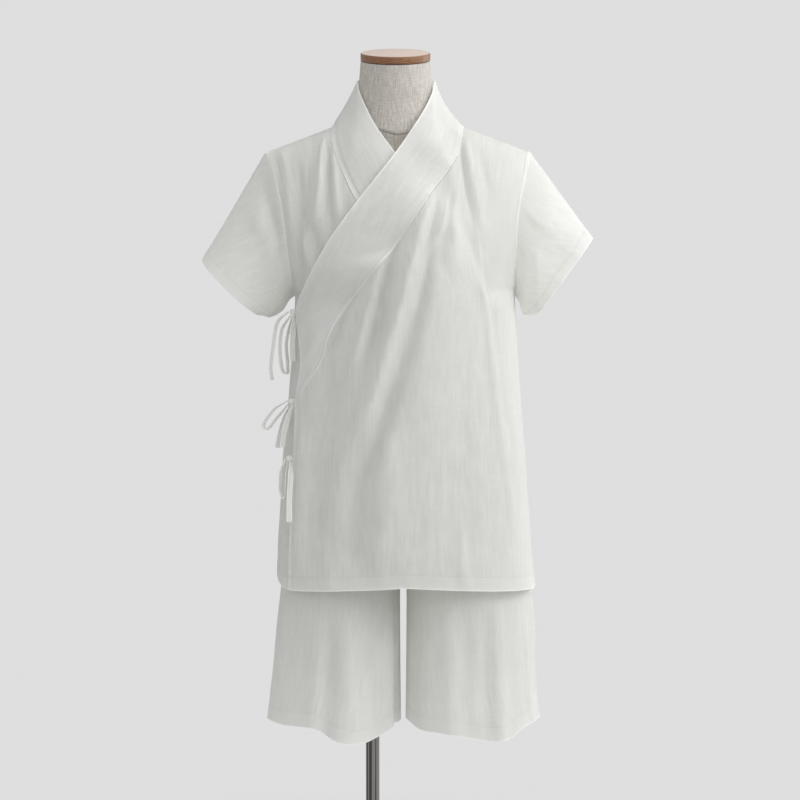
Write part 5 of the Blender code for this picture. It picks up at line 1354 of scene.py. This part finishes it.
def turned_piece(node, finish, sides, edge_width, tilt=0.0):
    """Round piece on its node's place, with eased edges."""
    low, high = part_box(node)
    radius = (high.x - low.x) / 2
    height = (high.z - low.z - 2 * radius * math.sin(tilt)) / math.cos(tilt)
    bpy.ops.mesh.primitive_cylinder_add(vertices=sides, radius=radius, depth=height,
                                        location=(low + high) / 2, rotation=(tilt, 0.0, 0.0))
    piece = bpy.context.object
    piece.name = piece.data.name = "%s_%s" % (node, finish)
    bpy.ops.object.transform_apply(location=True, rotation=True, scale=True)
    edge = piece.modifiers.new("edge", "BEVEL")
    edge.width = edge_width
    edge.segments = 3
    edge.limit_method = "ANGLE"
    edge.angle_limit = math.radians(35)
    piece.data.materials.append(material(finish))
    return finished(piece, 35)


# Operators

class PAJAMA_OT_form(bpy.types.Operator):
    """Makes the linen form with its cap, pole, socket and base"""
    bl_idname = "pajama.form"
    bl_label = "Dress form and stand"

    def execute(self, context):
        declare(form_cover(), "form_torso")
        for node, finish, slot, *shape in STAND:
            declare(turned_piece(node, finish, *shape), node)
        return {"FINISHED"}


class PAJAMA_OT_fronts(bpy.types.Operator):
    """Makes the outer and the under front of the jacket"""
    bl_idname = "pajama.fronts"
    bl_label = "Jacket fronts"

    def execute(self, context):
        under = declare(front_panel("jacket_front_under_cloth", WEARER_RIGHT, 76, 3), "jacket_front_under")
        outer = declare(front_panel("jacket_front_outer_cloth", WEARER_LEFT, 112, 2), "jacket_front_outer")
        return {"FINISHED"}


class PAJAMA_OT_back(bpy.types.Operator):
    """Makes the back of the jacket"""
    bl_idname = "pajama.back"
    bl_label = "Jacket back"

    def execute(self, context):
        back = declare(back_panel(), "jacket_back")
        return {"FINISHED"}


class PAJAMA_OT_collars(bpy.types.Operator):
    """Makes the two stretches of the collar band"""
    bl_idname = "pajama.collars"
    bl_label = "Collar"

    def execute(self, context):
        for side, name in ((WEARER_RIGHT, "collar_under"), (WEARER_LEFT, "collar_outer")):
            piece = declare(collar(name + "_band", side), name)
        return {"FINISHED"}


class PAJAMA_OT_sleeves(bpy.types.Operator):
    """Makes the two short sleeves"""
    bl_idname = "pajama.sleeves"
    bl_label = "Sleeves"

    def execute(self, context):
        for side, side_name in SIDE_NAMES.items():
            piece = declare(sleeve("sleeve_%s_cloth" % side_name, side, 31 + side), "sleeve_" + side_name)
        return {"FINISHED"}


class PAJAMA_OT_shorts(bpy.types.Operator):
    """Makes the four leg panels and the waist casing of the shorts"""
    bl_idname = "pajama.shorts"
    bl_label = "Shorts"

    def execute(self, context):
        for side, side_name in SIDE_NAMES.items():
            for face, face_name in ((FRONT, "front"), (BACK, "back")):
                node = "shorts_%s_%s" % (face_name, side_name)
                piece = declare(leg_panel(node + "_cloth", side, face), node)
        casing = declare(waist_casing(), "shorts_waistband")
        return {"FINISHED"}


class PAJAMA_OT_ties(bpy.types.Operator):
    """Makes the three bows at the wearer's right side"""
    bl_idname = "pajama.ties"
    bl_label = "Ties"

    def execute(self, context):
        for bow in KNOTS:
            declare(knot(bow), "tie_%s_knot" % bow)
        for name, (bow, route, width_way) in TIE_STRIPS.items():
            piece = declare(strip(name + "_strip", bow, route, width_way), name)
        return {"FINISHED"}


def soft_light(name, place, aim, size, colour, power):
    data = bpy.data.lights.new(name, "AREA")
    data.shape = "RECTANGLE"
    data.size, data.size_y = size
    data.energy = power
    data.color = colour
    lamp = bpy.data.objects.new(name, data)
    lamp.location = place
    lamp.rotation_euler = (Vector(aim) - Vector(place)).to_track_quat("-Z", "Y").to_euler()
    bpy.context.collection.objects.link(lamp)


def studio_floor(colour):
    """Pale floor whose far part takes the room's own brightness."""
    bpy.ops.mesh.primitive_circle_add(vertices=96, radius=30.0, fill_type="NGON",
                                      location=(0, 0, -0.0005))
    floor = bpy.context.object
    floor.name = "studio_floor"
    finish = Finish("studio_floor_pale")
    x, y, _ = finish.parts(finish.place)
    far = (((x * x + y * y).root() - LIT_FLOOR_RADIUS) / LIT_FLOOR_BLUR).clamped()
    finish.surface(base_color=FLOOR_COLOUR, roughness=0.8)
    finish.blended(far, "ShaderNodeEmission", {"Color": colour, "Strength": 1.0})
    floor.data.materials.append(finish.material)


class PAJAMA_OT_stage(bpy.types.Operator):
    """Makes the pale studio, its soft light and the camera"""
    bl_idname = "pajama.stage"
    bl_label = "Studio"

    def execute(self, context):
        studio = context.scene.pajama_studio
        world = bpy.data.worlds.new("studio_room")
        world.use_nodes = True
        backdrop = world.node_tree.nodes["Background"]
        backdrop.inputs["Color"].default_value = (*studio.backdrop, 1.0)
        backdrop.inputs["Strength"].default_value = 1.0
        context.scene.world = world
        context.scene.view_settings.view_transform = "Standard"
        studio_floor(studio.backdrop)
        for name, light in LIGHTS.items():
            soft_light(name + "_light", *light, getattr(studio, name + "_power"))
        data = bpy.data.cameras.new("camera")
        data.lens = CAMERA_LENS
        camera = bpy.data.objects.new("camera", data)
        camera.location = CAMERA_PLACE
        camera.rotation_euler = (math.radians(90 - CAMERA_PITCH), 0.0, 0.0)
        context.collection.objects.link(camera)
        context.scene.camera = camera
        return {"FINISHED"}


class PAJAMA_PT_panel(bpy.types.Panel):
    """Lists the pieces and their settings"""
    bl_idname = "PAJAMA_PT_panel"
    bl_label = "Pajama set"
    bl_space_type = "VIEW_3D"
    bl_region_type = "UI"
    bl_category = "Pajama set"

    def draw(self, context):
        for name in SETTINGS:
            settings = getattr(context.scene, name)
            box = self.layout.box()
            for key in settings.__annotations__:
                box.prop(settings, key)
        for operator in OPERATORS:
            self.layout.operator(operator.bl_idname)


SETTINGS = {"pajama_cloth": ClothSettings, "pajama_stand": StandSettings, "pajama_studio": StudioSettings}
OPERATORS = (PAJAMA_OT_form, PAJAMA_OT_back, PAJAMA_OT_fronts, PAJAMA_OT_collars, PAJAMA_OT_sleeves,
             PAJAMA_OT_shorts, PAJAMA_OT_ties, PAJAMA_OT_stage)
CLASSES = (*SETTINGS.values(), *OPERATORS, PAJAMA_PT_panel)


def register():
    for item in CLASSES:
        bpy.utils.register_class(item)
    for name, group in SETTINGS.items():
        setattr(bpy.types.Scene, name, PointerProperty(type=group))


def unregister():
    for name in SETTINGS:
        delattr(bpy.types.Scene, name)
    for item in reversed(CLASSES):
        bpy.utils.unregister_class(item)


def main():
    register()
    bpy.ops.pajama.form()
    bpy.ops.pajama.back()
    bpy.ops.pajama.fronts()
    bpy.ops.pajama.collars()
    bpy.ops.pajama.sleeves()
    bpy.ops.pajama.shorts()
    bpy.ops.pajama.ties()
    bpy.ops.pajama.stage()


if __name__ == "__main__":
    main()
